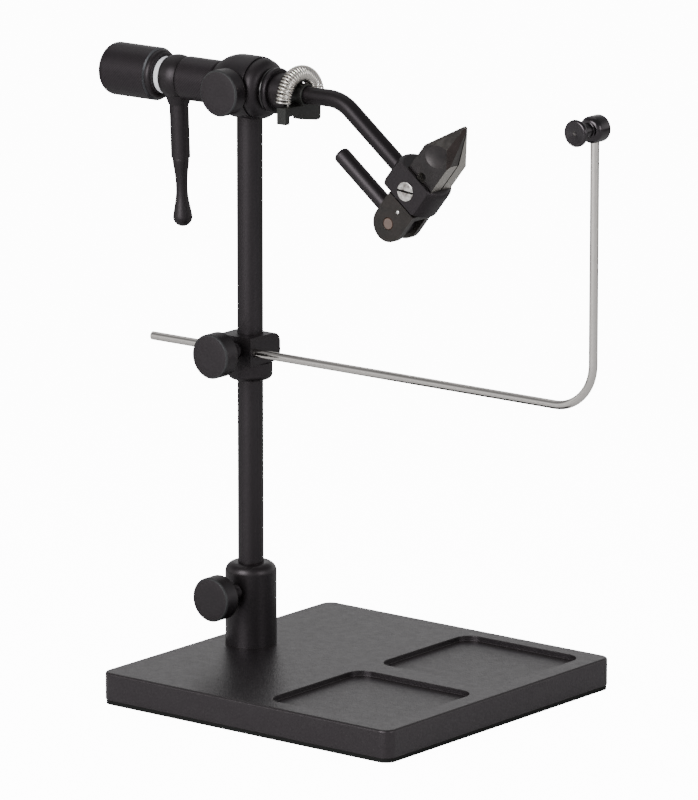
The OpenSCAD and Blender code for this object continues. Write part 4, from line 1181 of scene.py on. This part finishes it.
class VISE_OT_jaws(bpy.types.Operator):
    """Grind the jaws' hollows, break their edges and finish their faces"""

    bl_idname = "vise.jaws"
    bl_label = "Jaws"

    def execute(self, context):
        worn_and_highlit, shaded = JAW_FINISHES.index("wear_and_highlight"), JAW_FINISHES.index("slot_shade")
        for half in ("near", "far"):
            piece = edge_broken(
                f"jaw_{half}", f"jaw_{half}_half", f"{half}_jaw", "jaw_steel", JAW_FINISHES,
                pick=jaw_face_finish(half), carve=grind_hollow(half), crease=16,
            )
            # The bevels along the slit between the jaws take the slot's painted shade instead of the lighter
            # edge finish
            for face in piece.data.polygons:
                if abs(face.center.y) < SLIT_EDGE and face.material_index == worn_and_highlit:
                    face.material_index = shaded
        return {"FINISHED"}


class VISE_OT_cam(bpy.types.Operator):
    """Break the edges of the cam's yoke, its pin and dowels, and of the slotted screw above it"""

    bl_idname = "vise.cam"
    bl_label = "Cam Yoke and Screw"

    def execute(self, context):
        cheeks, pin = ("cheek_satin", "wear_and_highlight"), ("cam_pin_copper", "rust_ring")
        # The yoke's bevels take the lighter edge finish: rubbed black and a painted highlight
        edge_broken("cam_yoke", "cam_yoke_block", "rotor", finishes=cheeks, widths=1.2)
        edge_broken("cam_pin", "cam_pin_end", "rotor", "pin_copper", pin, widths=2)
        edge_broken("yoke_dowels", "yoke_dowel_ends", "rotor", "bright_steel", ("dowel_steel",), widths=1.5)
        below_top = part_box("jaw_screw")[0].y + 0.1 * MM
        edge_broken(
            "jaw_screw", "jaw_screw_slotted", "jaw_screw", "bright_steel",
            ("screw_steel", "screw_steel", "slot_shade"), widths=0.6,
            pick=lambda face: "slot_shade" if face.center.y > below_top else "screw_steel",
        )
        return {"FINISHED"}


# Stage

BEHIND_THE_VISE = (-0.62, 0.78)
DARKER_SIDES = ((0.985, -0.17), (-0.95, 0.31))
CAMERA_GLOW = 13


def white_floor():
    """A pale floor that darkens behind the vise for its mirrors, and that the camera sees as white."""
    deselect()
    bpy.ops.mesh.primitive_plane_add(size=16, location=(0, 0, -0.1 * MM))
    floor = bpy.context.object
    floor.name = "studio_floor"
    tree, shader = new_finish("floor_white", specular=0.1)
    place = object_place(tree)
    cloud = remap(tree, noise(tree, place, scale=3, detail=2), taken=(0.4, 0.6))
    pale = mixed(tree, cloud, (0.70, 0.70, 0.70), (0.74, 0.74, 0.74))
    behind = remap(tree, lean(tree, place, *BEHIND_THE_VISE), taken=(0, 0.5))
    feed(tree, mixed(tree, behind, pale, (0.16, 0.16, 0.16)), shader["Base Color"])
    seen = tree.nodes.new("ShaderNodeLightPath").outputs["Is Camera Ray"]
    feed(tree, maths(tree, "MULTIPLY", seen, CAMERA_GLOW), shader["Emission Strength"])
    shader["Emission Color"].default_value = (1, 1, 1, 1)
    shader["Roughness"].default_value = 0.9
    dress(floor, "floor_white")


def studio_air(scene):
    """White air low down and grey air above, with a darker patch on either side."""
    scene.world = bpy.data.worlds.new("studio_air")
    scene.world.use_nodes = True
    air = scene.world.node_tree
    way = air.nodes.new("ShaderNodeTexCoord").outputs["Generated"]
    split = air.nodes.new("ShaderNodeSeparateXYZ")
    feed(air, way, split.inputs[0])
    above = remap(air, split.outputs["Z"], taken=(0.27, 0.55))
    light = mixed(air, above, (1, 1, 1), (0.27, 0.27, 0.275))
    for side in DARKER_SIDES:
        patch = remap(air, lean(air, way, *side), taken=(0.84, 0.97))
        light = mixed(air, patch, light, (0.34, 0.34, 0.34))
    sky = air.nodes["Background"].inputs
    feed(air, light, sky["Color"])
    sky["Strength"].default_value = 1.05


def soft_lights(scene):
    target = Vector((0.03, 0, 0.12))
    for name, place, size, watts in (
        ("softbox_left", Vector((0, -2, 1)), 1.3, 50),
        ("softbox_top", Vector((-0.6, 0.5, 1.8)), 1.6, 5),
        ("softbox_right", Vector((2, -0.1, 0.7)), 0.9, 10),
    ):
        lamp = bpy.data.lights.new(name, "AREA")
        lamp.shape = "SQUARE"
        lamp.size = size
        lamp.energy = watts
        stand = bpy.data.objects.new(name, lamp)
        stand.location = place
        stand.rotation_euler = (target - place).to_track_quat("-Z", "Y").to_euler()
        scene.collection.objects.link(stand)


def photo_camera(scene):
    """The camera whose place, direction and focal length, in the photo's pixels, fit the photo."""
    focal_pixels, photo_height = 7060.87, 800
    azimuth, elevation, roll = (math.radians(degrees) for degrees in (38.4731, 12.7378, 0.0123))
    lens = bpy.data.cameras.new("photo_camera")
    lens.sensor_width = 36
    lens.lens = focal_pixels * lens.sensor_width / photo_height
    lens.clip_start = 0.05
    lens.clip_end = 60
    camera = bpy.data.objects.new("photo_camera", lens)
    level = math.cos(elevation)
    back = Vector((math.sin(azimuth) * level, -math.cos(azimuth) * level, math.sin(elevation)))
    tilt = Matrix.Rotation(roll, 4, "Z").to_quaternion()
    camera.rotation_mode = "QUATERNION"
    camera.rotation_quaternion = (-back).to_track_quat("-Z", "Y") @ tilt
    camera.location = (1.60230, -1.95813, 0.67578)
    scene.collection.objects.link(camera)
    scene.camera = camera


class VISE_OT_stage(bpy.types.Operator):
    """Set up the pale floor, the soft lights and the camera"""

    bl_idname = "vise.stage"
    bl_label = "Studio"

    def execute(self, context):
        white_floor()
        studio_air(context.scene)
        soft_lights(context.scene)
        photo_camera(context.scene)
        return {"FINISHED"}


STEPS = (
    VISE_OT_stage, VISE_OT_finishes, VISE_OT_knobs, VISE_OT_rear_knob, VISE_OT_sleeve, VISE_OT_crank,
    VISE_OT_spool, VISE_OT_spring, VISE_OT_base, VISE_OT_head, VISE_OT_blocks, VISE_OT_jaws, VISE_OT_cam,
)


class VISE_PT_panel(bpy.types.Panel):
    """The vise's sizes, colours and steps, in order"""

    bl_idname = "VISE_PT_panel"
    bl_label = "Fly Tying Vise"
    bl_space_type = "VIEW_3D"
    bl_region_type = "UI"
    bl_category = "Vise"

    def draw(self, context):
        for group in (sizes(), colours()):
            box = self.layout.box()
            for name in group.__annotations__:
                box.prop(group, name)
        for step in STEPS:
            self.layout.operator(step.bl_idname)


CLASSES = (ViseSizes, ViseColours, *STEPS, VISE_PT_panel)


def register():
    for cls in CLASSES:
        bpy.utils.register_class(cls)
    bpy.types.Scene.vise_sizes = bpy.props.PointerProperty(type=ViseSizes)
    bpy.types.Scene.vise_colours = bpy.props.PointerProperty(type=ViseColours)


def unregister():
    del bpy.types.Scene.vise_colours
    del bpy.types.Scene.vise_sizes
    for cls in reversed(CLASSES):
        bpy.utils.unregister_class(cls)


def main():
    register()
    bpy.ops.vise.stage()
    bpy.ops.vise.finishes()
    bpy.ops.vise.knobs()
    bpy.ops.vise.rear_knob()
    bpy.ops.vise.sleeve()
    bpy.ops.vise.crank()
    bpy.ops.vise.spool()
    bpy.ops.vise.spring()
    bpy.ops.vise.base()
    bpy.ops.vise.head()
    bpy.ops.vise.blocks()
    bpy.ops.vise.jaws()
    bpy.ops.vise.cam()
    deselect()
    bpy.context.view_layer.update()


if __name__ == "__main__":
    main()
